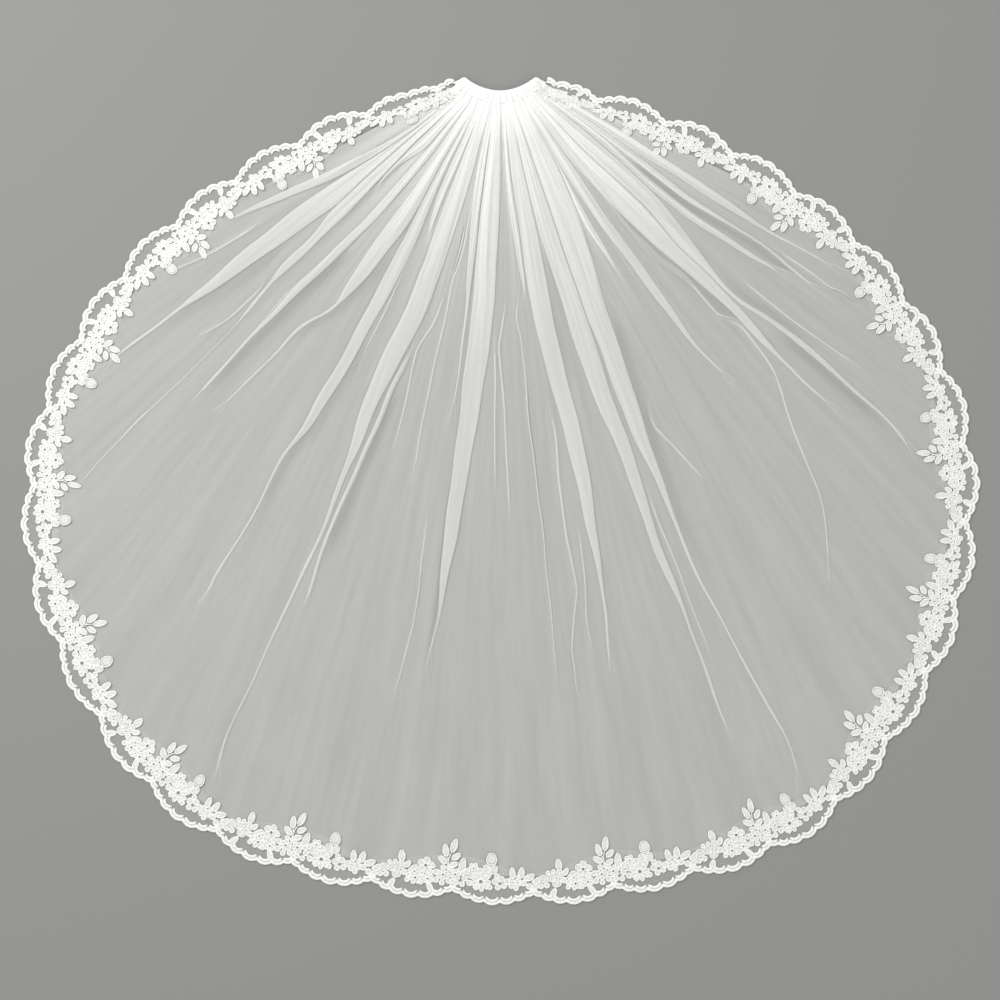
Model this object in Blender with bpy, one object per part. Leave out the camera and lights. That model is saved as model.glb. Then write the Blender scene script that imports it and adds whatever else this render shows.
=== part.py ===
"""Elbow-length bridal veil, laid flat in a fan: net, lace edging, heading binding and comb.

Metres, +Z up. The veil lies on z = 0 with its heading towards +Y, and x = y = 0 is the middle
of the box it fills. Folds radiate from FAN_POLE, a point just beyond the heading, and their
directions are degrees from straight down the veil (-Y), positive towards +X.
"""
import math

import bmesh
import bpy
import numpy as np

# ---------------------------------------------------------------- driving sizes (metres)
GAP = 0.0003                # clear space between pieces that touch
NET_WALL = 0.0010           # the laid net
LACE_WALL = 0.0012          # lace edging
BINDING_WALL = 0.0008       # heading binding

# Outline: the line through the valleys of the lace's scallops, a superellipse
VALLEY_HALF_WIDTH = 0.5285
VALLEY_HALF_LENGTH = 0.4570
UPPER_FULLNESS = 1.85       # exponent above the widest line, slightly pointed shoulders
LOWER_FULLNESS = 2.25       # exponent below it, fuller corners at the hem
SCALLOP_PITCH = 0.0887
SCALLOP_DEPTH = 0.0150
FIRST_VALLEY = 0.0530       # along the lace, and a tall sprig over every second valley from it
LACE_DEPTH = 0.0410         # from the valley line to the inner edge, on average
SPRIG_REACH = 0.0140        # more at the tall sprigs, less half a repeat away
NET_INSET = 0.0160          # the net's edge, in from the valley line and under the lace
LACE_START_DEG = 82.4       # the lace leaves the heading's corners at these directions
LACE_END_DEG = 97.6
LACE_PINCH = 0.38           # its depth is drawn in to this share at the heading
LACE_PINCH_LENGTH = 0.20
CORNER_LIFT = 0.0090        # the outline turns up by this to meet the heading's corners
CORNER_LIFT_LENGTH = 0.060
# The laid edge wanders: distance along it, and how far out of the superellipse it lies there
WANDER_ALONG = (0.0, 0.23, 0.40, 0.75, 1.00, 1.13, 1.30, 1.45, 1.60, 1.87, 2.06, 2.20, 2.56, 2.80, 2.90, 3.00)
WANDER_OUT = (0.0, -0.002, 0.002, -0.001, -0.005, 0.007, 0.0, 0.002, -0.005, 0.004, -0.007, 0.0, -0.005, -0.008, -0.004, 0.0)

# Fan and heading
FAN_POLE = (-0.0010, 0.4900)
HEADING_RADIUS = 0.0345     # from the pole to the middle of the hollow heading
CORNER_RADIUS = 0.0455      # from the pole to its pointed corners
CORNER_DEG = 67.5
SIDE_LEFT = 62.4            # the net's side edges, clear of the heading
SIDE_RIGHT = 64.2
UPPER_RADIUS = 0.125        # where the folds part from the gather
GATHER_THICKNESS = 0.0040   # the bunched net at the heading
GATHER_LENGTH = 0.070
BINDING_DEPTH = 0.0130
BINDING_CLEAR = 0.0200      # the net is bunched and raised up to here past the heading
LAID_FROM, LAID_BY = 0.086, 0.112   # from the pole: the net comes down off the comb's teeth
SIDE_FROM, SIDE_BY = 0.70, 0.86     # shares of the width: its sides lie flat, for the lace

# Comb
COMB_WIDTH = 0.076
COMB_SPINE = 0.0070
COMB_TEETH = 19
TOOTH_LENGTH = 0.0360
TOOTH_ROOT = 0.0023
TOOTH_TIP = 0.0012
COMB_THICKNESS = 0.0020

# Folds: three layers of net pressed flat, or a single crease beyond the tip
FOLD_RISE = 0.0020
CREASE_RISE = 0.0007
FOLD_STEP = 0.0014          # a fold's rounded edge, across
CREASE_HALF = 0.0012
FOLD_COLUMNS = (
    "upper_left", "upper_right", "belly", "belly_left", "belly_right",
    "tip", "tip_deg", "end", "end_deg", "taper",
)
FOLDS = (
    (-53.5, -52.0, 0.210, -57.0, -54.4, 0.362, -60.0, 0.370, -60.1, 0.8),
    (-52.0, -49.9, 0.250, -54.3, -49.2, 0.462, -52.5, 0.580, -52.4, 0.8),
    (-49.9, -46.5, 0.217, -49.0, -45.4, 0.382, -46.3, 0.695, -44.2, 0.8),
    (-46.5, -41.0, 0.165, -46.0, -44.5, 0.200, -45.2, 0.210, -45.2, 0.8),
    (-39.7, -36.7, 0.217, -40.7, -38.4, 0.456, -42.4, 0.524, -42.0, 0.9),
    (-33.8, -30.0, 0.205, -34.5, -29.5, 0.334, -34.4, 0.519, -38.8, 0.8),
    (-30.0, -27.0, 0.245, -28.4, -25.2, 0.502, -28.5, 0.707, -29.0, 0.8),
    (-25.6, -22.4, 0.160, -25.2, -22.6, 0.217, -22.5, 0.225, -22.4, 0.8),
    (-21.0, -14.0, 0.319, -21.3, -17.4, 0.570, -20.8, 0.884, -21.8, 0.6),
    (-12.0, -8.2, 0.188, -10.2, -7.8, 0.285, -7.6, 0.413, -7.9, 0.8),
    (-7.4, 0.3, 0.388, -6.4, -3.2, 0.576, -6.3, 0.701, -6.7, 0.5),
    (3.2, 5.5, 0.171, 3.8, 6.5, 0.268, 6.2, 0.278, 6.2, 0.8),
    (5.5, 12.3, 0.342, 8.4, 11.8, 0.638, 10.9, 0.712, 10.5, 0.5),
    (12.4, 18.7, 0.342, 15.1, 18.6, 0.673, 18.0, 0.821, 18.2, 0.75),
    (18.8, 29.3, 0.342, 19.1, 22.7, 0.559, 20.7, 0.900, 22.2, 1.0),
    (29.5, 30.0, 0.194, 27.4, 29.4, 0.271, 29.5, 0.281, 29.6, 0.8),
    (30.2, 35.2, 0.205, 31.6, 34.7, 0.401, 34.9, 0.456, 36.1, 0.8),
    (35.4, 43.4, 0.228, 39.0, 44.8, 0.490, 43.8, 0.559, 43.9, 0.8),
    (43.6, 51.4, 0.228, 45.2, 49.5, 0.616, 46.9, 0.652, 45.8, 2.2),
    (51.6, 54.3, 0.234, 49.9, 51.8, 0.399, 53.2, 0.409, 53.3, 0.8),
    (54.5, 56.8, 0.256, 53.6, 54.9, 0.342, 55.0, 0.456, 54.3, 0.8),
    (57.0, 61.0, 0.256, 57.0, 59.2, 0.365, 58.0, 0.461, 58.4, 0.8),
)

# ---------------------------------------------------------------- helpers


def ease(x, low, high):
    """0 below low, 1 above high, smooth between."""
    t = np.clip((x - low) / (high - low), 0.0, 1.0)
    return t * t * (3.0 - 2.0 * t)


def through(at, stations, values):
    """A smooth value through a few stations, level beyond the last."""
    slopes = np.gradient(values, stations)
    slopes[-1] = (values[-1] - values[-2]) / (stations[-1] - stations[-2])
    i = int(np.clip(np.searchsorted(stations, at) - 1, 0, len(stations) - 2))
    span = stations[i + 1] - stations[i]
    t = min(max((at - stations[i]) / span, 0.0), 1.0)
    return (
        values[i] * (1 + 2 * t) * (1 - t) ** 2
        + slopes[i] * span * t * (1 - t) ** 2
        + values[i + 1] * t * t * (3 - 2 * t)
        - slopes[i + 1] * span * t * t * (1 - t)
    )


def sewn_outline(samples=1440):
    """The valley line from the right heading corner round the hem to the left one, as
    points, outward directions and lengths along it."""
    direction = np.radians(np.linspace(LACE_START_DEG, LACE_END_DEG - 360.0, samples))
    c, s = np.cos(direction), np.sin(direction)
    fullness = np.where(s > 0, UPPER_FULLNESS, LOWER_FULLNESS)
    radius = (
        (np.abs(c) / VALLEY_HALF_WIDTH) ** fullness
        + (np.abs(s) / VALLEY_HALF_LENGTH) ** fullness
    ) ** (-1.0 / fullness)
    points = np.stack([radius * c, radius * s], axis=1)
    along = np.gradient(points, axis=0)
    along /= np.linalg.norm(along, axis=1)[:, None]
    outward = np.stack([-along[:, 1], along[:, 0]], axis=1)
    steps = np.linalg.norm(np.diff(points, axis=0), axis=1)
    length = np.concatenate([[0.0], np.cumsum(steps)])
    to_end = np.minimum(length, length[-1] - length)
    lift = CORNER_LIFT * (1.0 - ease(to_end, 0.0, CORNER_LIFT_LENGTH))
    lift += np.array([through(s, WANDER_ALONG, WANDER_OUT) for s in length])
    return points + lift[:, None] * outward, outward, length


OUTLINE, OUTWARD, ALONG = sewn_outline()
LACE_LENGTH = ALONG[-1]


def lace_draw(distance):
    """The share of its depth that the lace keeps, drawn in towards both ends."""
    end = np.minimum(distance, LACE_LENGTH - distance)
    return LACE_PINCH + (1.0 - LACE_PINCH) * ease(end, 0.0, LACE_PINCH_LENGTH)


def lace_point(distance, inward):
    """A point at this distance along the lace and this far in from the valley line."""
    inset = inward * lace_draw(distance)
    x = np.interp(distance, ALONG, OUTLINE[:, 0] - inset * OUTWARD[:, 0])
    y = np.interp(distance, ALONG, OUTLINE[:, 1] - inset * OUTWARD[:, 1])
    return x, y


def lace_inner(distance):
    """Depth of the lace: the tall sprigs stand once in every two scallops."""
    repeats = (distance - FIRST_VALLEY) / (2.0 * SCALLOP_PITCH) - 0.5
    return LACE_DEPTH + SPRIG_REACH * math.cos(2.0 * math.pi * repeats)


def polar(x, y):
    """Direction in degrees and distance from the pole."""
    dx, dy = x - FAN_POLE[0], FAN_POLE[1] - y
    return np.degrees(np.arctan2(dx, dy)), np.hypot(dx, dy)


def net_edge():
    """The net's edge under the lace: direction from the pole against distance from it."""
    at = np.linspace(0.0, LACE_LENGTH, 900)
    edge = np.array([lace_point(s, NET_INSET) for s in at])
    direction, radius = polar(edge[:, 0], edge[:, 1])
    inside = radius > 0.24
    order = np.argsort(direction[inside])
    return direction[inside][order], radius[inside][order]


EDGE_DEG, EDGE_RADIUS = net_edge()


def heading_radius(share):
    """Distance from the pole to the hollow heading, at -1 to 1 across it."""
    return HEADING_RADIUS + (CORNER_RADIUS - HEADING_RADIUS) * np.abs(share) ** 2.2


def share_of(degrees):
    """-1 to 1 from side edge to side edge."""
    return degrees / (SIDE_RIGHT if degrees > 0 else SIDE_LEFT)


def side_spread(degrees, radius):
    """The fan is drawn out a little wider at the heading's corners."""
    side = SIDE_RIGHT if degrees > 0 else SIDE_LEFT
    return 1.0 + (CORNER_DEG / side - 1.0) * (1.0 - ease(radius, CORNER_RADIUS, 0.060))


def place(degrees, radius):
    """A point at this direction and distance from the pole, drawn out to the corners."""
    turned = math.radians(degrees * side_spread(degrees, radius))
    return (
        FAN_POLE[0] + radius * math.sin(turned),
        FAN_POLE[1] - radius * math.cos(turned),
    )


def fold_edges(fold, radius):
    """Left and right edge, in degrees, and height of one fold at this distance."""
    f = dict(zip(FOLD_COLUMNS, fold))
    middle = through(
        radius,
        (UPPER_RADIUS, f["belly"], f["tip"], f["end"]),
        (
            (f["upper_left"] + f["upper_right"]) / 2,
            (f["belly_left"] + f["belly_right"]) / 2,
            f["tip_deg"],
            f["end_deg"],
        ),
    )
    upper = f["upper_right"] - f["upper_left"]
    belly = f["belly_right"] - f["belly_left"]
    if radius < f["belly"]:
        width = upper + (belly - upper) * ease(radius, UPPER_RADIUS, f["belly"])
    else:
        left_over = max(0.0, 1.0 - (radius - f["belly"]) / (f["tip"] - f["belly"]))
        width = belly * left_over ** f["taper"]
    least = math.degrees(CREASE_HALF / radius)
    half = max(width / 2, least)
    rise = CREASE_RISE + (FOLD_RISE - CREASE_RISE) * ease(
        math.radians(width) * radius, 0.0, 0.006)
    rise *= 1.0 - ease(radius, f["end"] - 0.03, f["end"])
    return middle - half, middle + half, rise


# ---------------------------------------------------------------- the net


def underside(share, radius):
    """The net lies on the surface, except where the comb and the binding lift it."""
    distance = radius - heading_radius(share)
    in_binding = COMB_THICKNESS + GAP + BINDING_WALL + GAP
    over_comb = COMB_THICKNESS + GAP
    height = in_binding + (over_comb - in_binding) * ease(distance, BINDING_DEPTH, BINDING_CLEAR)
    let_down = ease(radius, LAID_FROM, LAID_BY)
    at_side = ease(distance, BINDING_DEPTH + 0.0005, BINDING_CLEAR)
    at_side *= ease(abs(share), SIDE_FROM, SIDE_BY)
    return height * (1.0 - max(let_down, at_side))


def thickness(share, radius):
    """The gathers bunch the net up towards the heading."""
    distance = radius - heading_radius(share)
    bunch = 1.0 - ease(distance, BINDING_DEPTH, GATHER_LENGTH)
    flat_side = ease(abs(share), SIDE_FROM, SIDE_BY)
    flat_side *= ease(distance, BINDING_DEPTH, BINDING_CLEAR)
    return NET_WALL + GATHER_THICKNESS * bunch * (1.0 - flat_side)


def over_net(x, y):
    """Whether this point is above the net, and how high the net's top is there."""
    direction, radius = polar(x, y)
    degrees = direction / side_spread(direction, radius)
    share = float(np.clip(share_of(degrees), -1.0, 1.0))
    within = abs(share) < 1.0 and radius < np.interp(degrees, EDGE_DEG, EDGE_RADIUS)
    return within, underside(share, radius) + thickness(share, radius)


def clear_of_lace(x, y):
    """0 under the lace and 1 clear of it, so that no fold stands where the lace lies."""
    depth = np.hypot(OUTLINE[:, 0] - x, OUTLINE[:, 1] - y).min()
    reach = LACE_DEPTH + SPRIG_REACH
    return ease(depth, reach + 0.010, reach + 0.040)


def net_columns(radius):
    """(degrees, height of the fold) for each lengthwise line of the net, left to right."""
    edges = [fold_edges(fold, max(radius, UPPER_RADIUS)) for fold in FOLDS]
    least = math.degrees(0.0003 / radius)
    step = math.degrees(FOLD_STEP / max(radius, UPPER_RADIUS))
    columns = [(-SIDE_LEFT, 0.0)]
    for left, right, rise in edges:
        columns += [(left - step, 0.0), (left, rise), (right, rise), (right + step, 0.0)]
    columns.append((SIDE_RIGHT, 0.0))
    degrees = np.array([d for d, _ in columns])
    # Folds that meet share the ground between them, so their lines never cross.
    for _ in range(40):
        tight = degrees[1:] - degrees[:-1] < least
        if not tight.any():
            break
        for i in np.nonzero(tight)[0]:
            middle = (degrees[i] + degrees[i + 1]) / 2
            degrees[i] = middle - 0.51 * least
            degrees[i + 1] = middle + 0.51 * least
    degrees[0], degrees[-1] = -SIDE_LEFT, SIDE_RIGHT
    return degrees, [h for _, h in columns]


def net_radius(degrees, row):
    """Rows run at set distances near the heading, then in equal shares to the edge."""
    near = (0.0, 0.0128, 0.0165, 0.020, 0.032, 0.048, 0.066)
    start = heading_radius(share_of(degrees))
    if row < len(near):
        return start + near[row]
    edge = float(np.interp(degrees, EDGE_DEG, EDGE_RADIUS))
    share = (row - len(near) + 1) / (NET_ROWS - len(near))
    first = start + near[-1]
    return first + (edge - first) * share ** 1.15


NET_ROWS = 17


def make_net():
    tops, unders = [], []
    for row in range(NET_ROWS):
        typical = net_radius(0.0, row)
        degrees, rises = net_columns(typical)
        # A line's own distance differs from the typical one, so it is placed a second time.
        for _ in range(3):
            radii = [net_radius(d, row) for d in degrees]
            tables = {}
            moved = []
            for i, r in enumerate(radii):
                key = round(float(r), 4)
                if key not in tables:
                    tables[key] = net_columns(key)
                moved.append(tables[key][0][i])
            degrees = np.maximum.accumulate(np.array(moved) + np.arange(len(moved)) * 1e-5)
        rises = [tables[round(float(r), 4)][1][i] for i, r in enumerate(radii)]
        top_row, under_row = [], []
        for d, r, rise in zip(degrees, radii, rises):
            share = share_of(d)
            x, y = place(d, r)
            low = underside(share, r)
            risen = rise * ease(r, 0.060, 0.100) * clear_of_lace(x, y)
            top_row.append((x, y, low + thickness(share, r) + risen))
            under_row.append((x, y, low))
        tops.append(top_row)
        unders.append(under_row)
    return loft_sheet("tulle_panel", tops, unders)


def loft_sheet(name, tops, unders):
    """A closed wall between two matching grids of points."""
    mesh = bmesh.new()
    top = [[mesh.verts.new(p) for p in row] for row in tops]
    under = [[mesh.verts.new(p) for p in row] for row in unders]
    rows, columns = len(top), len(top[0])
    for i in range(rows - 1):
        for j in range(columns - 1):
            mesh.faces.new((top[i][j], top[i + 1][j], top[i + 1][j + 1], top[i][j + 1]))
            mesh.faces.new((under[i][j], under[i][j + 1], under[i + 1][j + 1], under[i + 1][j]))
    rim = (
        [(0, j) for j in range(columns)]
        + [(i, columns - 1) for i in range(1, rows)]
        + [(rows - 1, j) for j in range(columns - 2, -1, -1)]
        + [(i, 0) for i in range(rows - 2, 0, -1)]
    )
    for (i, j), (k, m) in zip(rim, rim[1:] + rim[:1]):
        mesh.faces.new((top[i][j], top[k][m], under[k][m], under[i][j]))
    bmesh.ops.recalc_face_normals(mesh, faces=mesh.faces)
    return finish_mesh(name, mesh)


# ---------------------------------------------------------------- the lace


def scallop(distance):
    """How far the edge bulges past the valley line: round scallops with sharp valleys."""
    share = ((distance - FIRST_VALLEY) / SCALLOP_PITCH) % 1.0
    return SCALLOP_DEPTH * max(0.0, 1.0 - (2.0 * share - 1.0) ** 2) ** 0.75


def lace_stations(each=6):
    """Distances along the lace: its ends, and six to a scallop with one in each valley."""
    first = math.ceil(-FIRST_VALLEY / SCALLOP_PITCH * each)
    last = math.floor((LACE_LENGTH - FIRST_VALLEY) / SCALLOP_PITCH * each)
    inner = [FIRST_VALLEY + k * SCALLOP_PITCH / each for k in range(first, last + 1)]
    return [0.0] + [s for s in inner if 0.003 < s < LACE_LENGTH - 0.003] + [LACE_LENGTH]


def lap_start(distance):
    """How far in from the valley line the net's edge lies under the lace."""
    for inward in np.arange(0.0, LACE_DEPTH, 0.0005):
        if over_net(*lace_point(distance, inward))[0]:
            return inward
    return LACE_DEPTH


def make_lace():
    tops, unders = [], []
    for distance in lace_stations():
        lap = lap_start(distance) - 0.0010
        inner = lace_inner(distance)
        under = []
        for inward, laps in (
            (-scallop(distance), False), (lap - 0.0016, False),
            (lap, True), ((lap + inner) / 2, True), (inner, True),
        ):
            x, y = lace_point(distance, inward)
            under.append((x, y, over_net(x, y)[1] + GAP if laps else 0.0))
        unders.append(under)
        tops.append([(x, y, z + LACE_WALL) for x, y, z in under])
    return loft_sheet("lace_trim", tops, unders)


# ---------------------------------------------------------------- heading binding and comb


def make_binding():
    """A strip folded over the gathered edge, open towards the veil."""
    stations = np.linspace(-0.985, 0.985, 25)
    low = COMB_THICKNESS + GAP
    high = low + 2 * (BINDING_WALL + GAP) + NET_WALL + GATHER_THICKNESS
    reach = 0.0012 + BINDING_WALL
    inside_low, inside_high = low + BINDING_WALL, high - BINDING_WALL
    rings = []
    for share in stations:
        start = heading_radius(share)
        profile = (
            (-reach, low + 0.0012), (-reach + 0.0010, low), (BINDING_DEPTH, low),
            (BINDING_DEPTH, inside_low), (-0.0008, inside_low), (-0.0008, inside_high),
            (BINDING_DEPTH, inside_high), (BINDING_DEPTH, high), (-reach + 0.0010, high),
            (-reach, high - 0.0012),
        )
        turned = math.radians(share * CORNER_DEG)
        rings.append([
            (
                FAN_POLE[0] + (start + out) * math.sin(turned),
                FAN_POLE[1] - (start + out) * math.cos(turned),
                z,
            )
            for out, z in profile
        ])
    mesh = bmesh.new()
    loops = [[mesh.verts.new(p) for p in ring] for ring in rings]
    for first, second in zip(loops, loops[1:]):
        for j in range(len(first)):
            k = (j + 1) % len(first)
            mesh.faces.new((first[j], second[j], second[k], first[k]))
    mesh.faces.new(loops[0])
    mesh.faces.new(loops[-1][::-1])
    bmesh.ops.recalc_face_normals(mesh, faces=mesh.faces)
    return finish_mesh("heading_binding", mesh)


def heading_y(x):
    """The hollow heading's height at x, from its distances to the pole."""
    shares = np.linspace(-1.0, 1.0, 81)
    turned = np.radians(shares * CORNER_DEG)
    radii = heading_radius(shares)
    return np.interp(x, FAN_POLE[0] + radii * np.sin(turned), FAN_POLE[1] - radii * np.cos(turned))


def make_comb():
    half = COMB_WIDTH / 2
    back = 0.0010           # the spine's back edge, just inside the heading's line
    outline = [(x, heading_y(x) - back) for x in np.linspace(-half, half, 17)]
    pitch = (COMB_WIDTH - TOOTH_ROOT) / (COMB_TEETH - 1)
    for tooth in range(COMB_TEETH):
        middle = half - TOOTH_ROOT / 2 - tooth * pitch
        root = heading_y(middle) - back - COMB_SPINE
        for side, width, reach in (
            (1, TOOTH_ROOT, 0.0), (1, TOOTH_TIP, TOOTH_LENGTH),
            (-1, TOOTH_TIP, TOOTH_LENGTH), (-1, TOOTH_ROOT, 0.0),
        ):
            outline.append((middle + side * width / 2, root - reach))
    curve = bpy.data.curves.new("comb", "CURVE")
    curve.dimensions = "2D"
    curve.fill_mode = "BOTH"
    curve.extrude = COMB_THICKNESS / 2
    spline = curve.splines.new("POLY")
    spline.points.add(len(outline) - 1)
    for point, (x, y) in zip(spline.points, outline):
        point.co = (x, y, 0.0, 1.0)
    spline.use_cyclic_u = True
    comb = bpy.data.objects.new("comb", curve)
    comb.location.z = COMB_THICKNESS / 2
    return comb


# ---------------------------------------------------------------- finish and scene


def finish_mesh(name, mesh):
    data = bpy.data.meshes.new(name)
    mesh.to_mesh(data)
    mesh.free()
    return bpy.data.objects.new(name, data)


def give_material(piece, name, colour, roughness):
    material = bpy.data.materials.new(name)
    material.use_nodes = True
    shader = material.node_tree.nodes["Principled BSDF"]
    shader.inputs["Base Color"].default_value = (*colour, 1.0)
    shader.inputs["Roughness"].default_value = roughness
    shader.inputs["Metallic"].default_value = 0.0
    piece.data.materials.append(material)


def main():
    for old in list(bpy.data.objects):
        bpy.data.objects.remove(old)
    veil = bpy.data.collections.new("bridal_veil")
    bpy.context.scene.collection.children.link(veil)
    for make, material, colour, roughness in (
        (make_net, "bridal_net", (0.86, 0.86, 0.84), 0.8),
        (make_lace, "ivory_lace", (0.88, 0.87, 0.83), 0.75),
        (make_binding, "heading_strip", (0.88, 0.88, 0.85), 0.7),
        (make_comb, "comb_plastic", (0.80, 0.80, 0.78), 0.25),
    ):
        piece = make()
        give_material(piece, material, colour, roughness)
        veil.objects.link(piece)


main()
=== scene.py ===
# %% [markdown]
# # A bridal veil, laid out flat
#
# The real object is an elbow-length veil: one wide cut of sheer net, gathered at the top onto a
# short hollow heading with a comb behind it, and edged all round with corded lace. Laid on a
# table it opens into a fan. The net that the fan has no room for lies in long pressed folds that
# run out from the heading, and each fold is three layers of net, so it looks denser.
#
# A veil could be dropped onto a table with Blender's cloth simulation, but the folds would fall
# where they like. Here each fold is placed from a short table, and the cloth is built
# along those folds, because their places are what makes this veil look like itself.

# %% Load the frame
import math
from functools import partial

import bpy
import numpy as np
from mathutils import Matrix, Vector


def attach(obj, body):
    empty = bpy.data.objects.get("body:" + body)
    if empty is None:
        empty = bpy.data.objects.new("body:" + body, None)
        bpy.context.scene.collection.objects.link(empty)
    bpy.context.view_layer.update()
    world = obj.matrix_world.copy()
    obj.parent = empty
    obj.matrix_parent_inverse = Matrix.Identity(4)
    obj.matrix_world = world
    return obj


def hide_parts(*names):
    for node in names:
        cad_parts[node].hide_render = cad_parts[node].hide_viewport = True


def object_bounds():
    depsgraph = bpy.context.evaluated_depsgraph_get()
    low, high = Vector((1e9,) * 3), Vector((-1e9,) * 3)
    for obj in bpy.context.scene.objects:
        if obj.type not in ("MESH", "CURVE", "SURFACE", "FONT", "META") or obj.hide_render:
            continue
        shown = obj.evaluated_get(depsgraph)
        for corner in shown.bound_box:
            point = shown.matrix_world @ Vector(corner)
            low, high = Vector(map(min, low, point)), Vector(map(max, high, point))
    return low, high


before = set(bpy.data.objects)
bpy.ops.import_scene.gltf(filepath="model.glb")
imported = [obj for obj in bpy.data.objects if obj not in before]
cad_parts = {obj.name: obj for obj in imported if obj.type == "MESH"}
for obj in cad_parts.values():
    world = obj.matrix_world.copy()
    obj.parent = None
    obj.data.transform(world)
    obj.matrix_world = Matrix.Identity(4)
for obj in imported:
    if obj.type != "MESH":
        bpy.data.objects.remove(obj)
cad_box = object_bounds()
veil_low, veil_high = np.array(cad_box[0]), np.array(cad_box[1])
print("frame:", np.round(veil_high - veil_low, 4), "m, nodes", sorted(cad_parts))

# %% [markdown]
# ## Camera, floor and light
#
# The veil is seen from straight above. A long lens high up keeps the lace the same size in the
# middle and at the rim. The floor is a plain pale grey, a little deeper than the cloth, because
# white net on a white floor can't be seen. A large lamp on one side and an even sky give
# soft light that still shows which way a fold stands.

# %% Camera
VIEW_SIDE = 1.14            # metres of floor across the picture
CAMERA_HEIGHT = 3.4
AIM_OFF = (-0.001, -0.009)  # of the camera's place, from over the veil's middle
SENSOR = 36.0

camera_data = bpy.data.cameras.new("overhead_camera")
camera_data.type = "PERSP"
camera_data.sensor_width = SENSOR
camera_data.lens = SENSOR * CAMERA_HEIGHT / VIEW_SIDE
camera_data.clip_end = 50.0
camera = bpy.data.objects.new("overhead_camera", camera_data)
bpy.context.scene.collection.objects.link(camera)
veil_middle = (veil_low + veil_high) / 2
camera.location = (veil_middle[0] + AIM_OFF[0], veil_middle[1] + AIM_OFF[1], CAMERA_HEIGHT)
bpy.context.scene.camera = camera
print("camera: lens", round(camera_data.lens, 1), "mm, straight down from", CAMERA_HEIGHT, "m")


# %% Floor and light
def plain_material(name, colour, roughness):
    """One colour all over."""
    material = bpy.data.materials.new(name)
    material.use_nodes = True
    shader = material.node_tree.nodes["Principled BSDF"]
    shader.inputs["Base Color"].default_value = (*colour, 1.0)
    shader.inputs["Roughness"].default_value = roughness
    return material


FLOOR_HALF = 20.0
FLOOR_GREY = (0.265, 0.265, 0.26)
floor_mesh = bpy.data.meshes.new("floor")
floor_mesh.from_pydata(
    [(-FLOOR_HALF, -FLOOR_HALF, 0), (FLOOR_HALF, -FLOOR_HALF, 0),
     (FLOOR_HALF, FLOOR_HALF, 0), (-FLOOR_HALF, FLOOR_HALF, 0)], [], [(0, 1, 2, 3)])
floor_mesh.materials.append(plain_material("pale_grey_floor", FLOOR_GREY, 0.9))
floor = bpy.data.objects.new("floor", floor_mesh)
bpy.context.scene.collection.objects.link(floor)

SKY_STRENGTH = 0.66
world = bpy.data.worlds.new("soft_sky")
world.use_nodes = True
world.node_tree.nodes["Background"].inputs["Color"].default_value = (1.0, 0.995, 0.985, 1.0)
world.node_tree.nodes["Background"].inputs["Strength"].default_value = SKY_STRENGTH
bpy.context.scene.world = world

for name, place, size, power in (
    ("window_lamp", (-1.5, 1.4, 2.0), 1.4, 49.0),
    ("fill_lamp", (1.8, -1.2, 2.4), 2.0, 14.0),
):
    lamp_data = bpy.data.lights.new(name, "AREA")
    lamp_data.size = size
    lamp_data.energy = power
    lamp = bpy.data.objects.new(name, lamp_data)
    lamp.location = place
    towards = -np.array(place)
    lamp.rotation_euler = (
        math.atan2(math.hypot(towards[0], towards[1]), -towards[2]),
        0.0,
        math.atan2(towards[1], towards[0]) - math.pi / 2,
    )
    bpy.context.scene.collection.objects.link(lamp)
bpy.context.scene.view_settings.view_transform = "Standard"
print("stage: floor, sky and two lamps")

# %% [markdown]
# ## The sewn line
#
# The lace is sewn along one line, from the right corner of the heading round the hem to the
# left corner. A superellipse gives its even, slightly squared oval, and a short table of how
# far it wanders keeps it from looking drawn with a compass, as cloth that is laid by hand does.
# Every length below is a distance along this line, and every depth is measured in from it.

# %% Sizes of the outline
VALLEY_HALF_WIDTH = 0.5285          # from the middle to the line through the scallops' valleys
VALLEY_HALF_LENGTH = 0.4570
UPPER_FULLNESS = 1.85               # 2 is an ellipse, more is squarer
LOWER_FULLNESS = 2.25
LACE_START_DEG = 82.4
LACE_END_DEG = 97.6
CORNER_LIFT = 0.0078                # the line swings out to meet the heading's corners
CORNER_LIFT_LENGTH = 0.060
WANDER_ALONG = (0.0, 0.23, 0.40, 0.75, 1.00, 1.13, 1.30, 1.45,
                1.60, 1.87, 2.06, 2.20, 2.56, 2.80, 2.90, 3.00)
WANDER_OUT = (0.0, -0.002, 0.002, -0.001, -0.005, 0.006, -0.003, -0.003,
              -0.0085, 0.0, -0.007, 0.0, -0.005, -0.008, -0.004, 0.0)
print("outline:", 2 * VALLEY_HALF_WIDTH, "by", 2 * VALLEY_HALF_LENGTH, "m between valleys")


# %% Two helpers that shape almost everything
def ease(x, low, high):
    """0 below low, 1 above high, smooth between."""
    t = np.clip((x - low) / (high - low), 0.0, 1.0)
    return t * t * (3.0 - 2.0 * t)


def through(at, stations, values):
    """A smooth value through a few stations, level beyond the last."""
    stations, values = np.asarray(stations, float), np.asarray(values, float)
    slopes = np.gradient(values, stations)
    slopes[-1] = (values[-1] - values[-2]) / (stations[-1] - stations[-2])
    i = np.clip(np.searchsorted(stations, at) - 1, 0, len(stations) - 2)
    span = stations[i + 1] - stations[i]
    t = np.clip((at - stations[i]) / span, 0.0, 1.0)
    return (
        values[i] * (1 + 2 * t) * (1 - t) ** 2
        + slopes[i] * span * t * (1 - t) ** 2
        + values[i + 1] * t * t * (3 - 2 * t)
        - slopes[i + 1] * span * t * t * (1 - t)
    )


print("helpers: a quarter of the way along, ease has risen", ease(0.25, 0.0, 1.0), "of the way")


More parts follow.
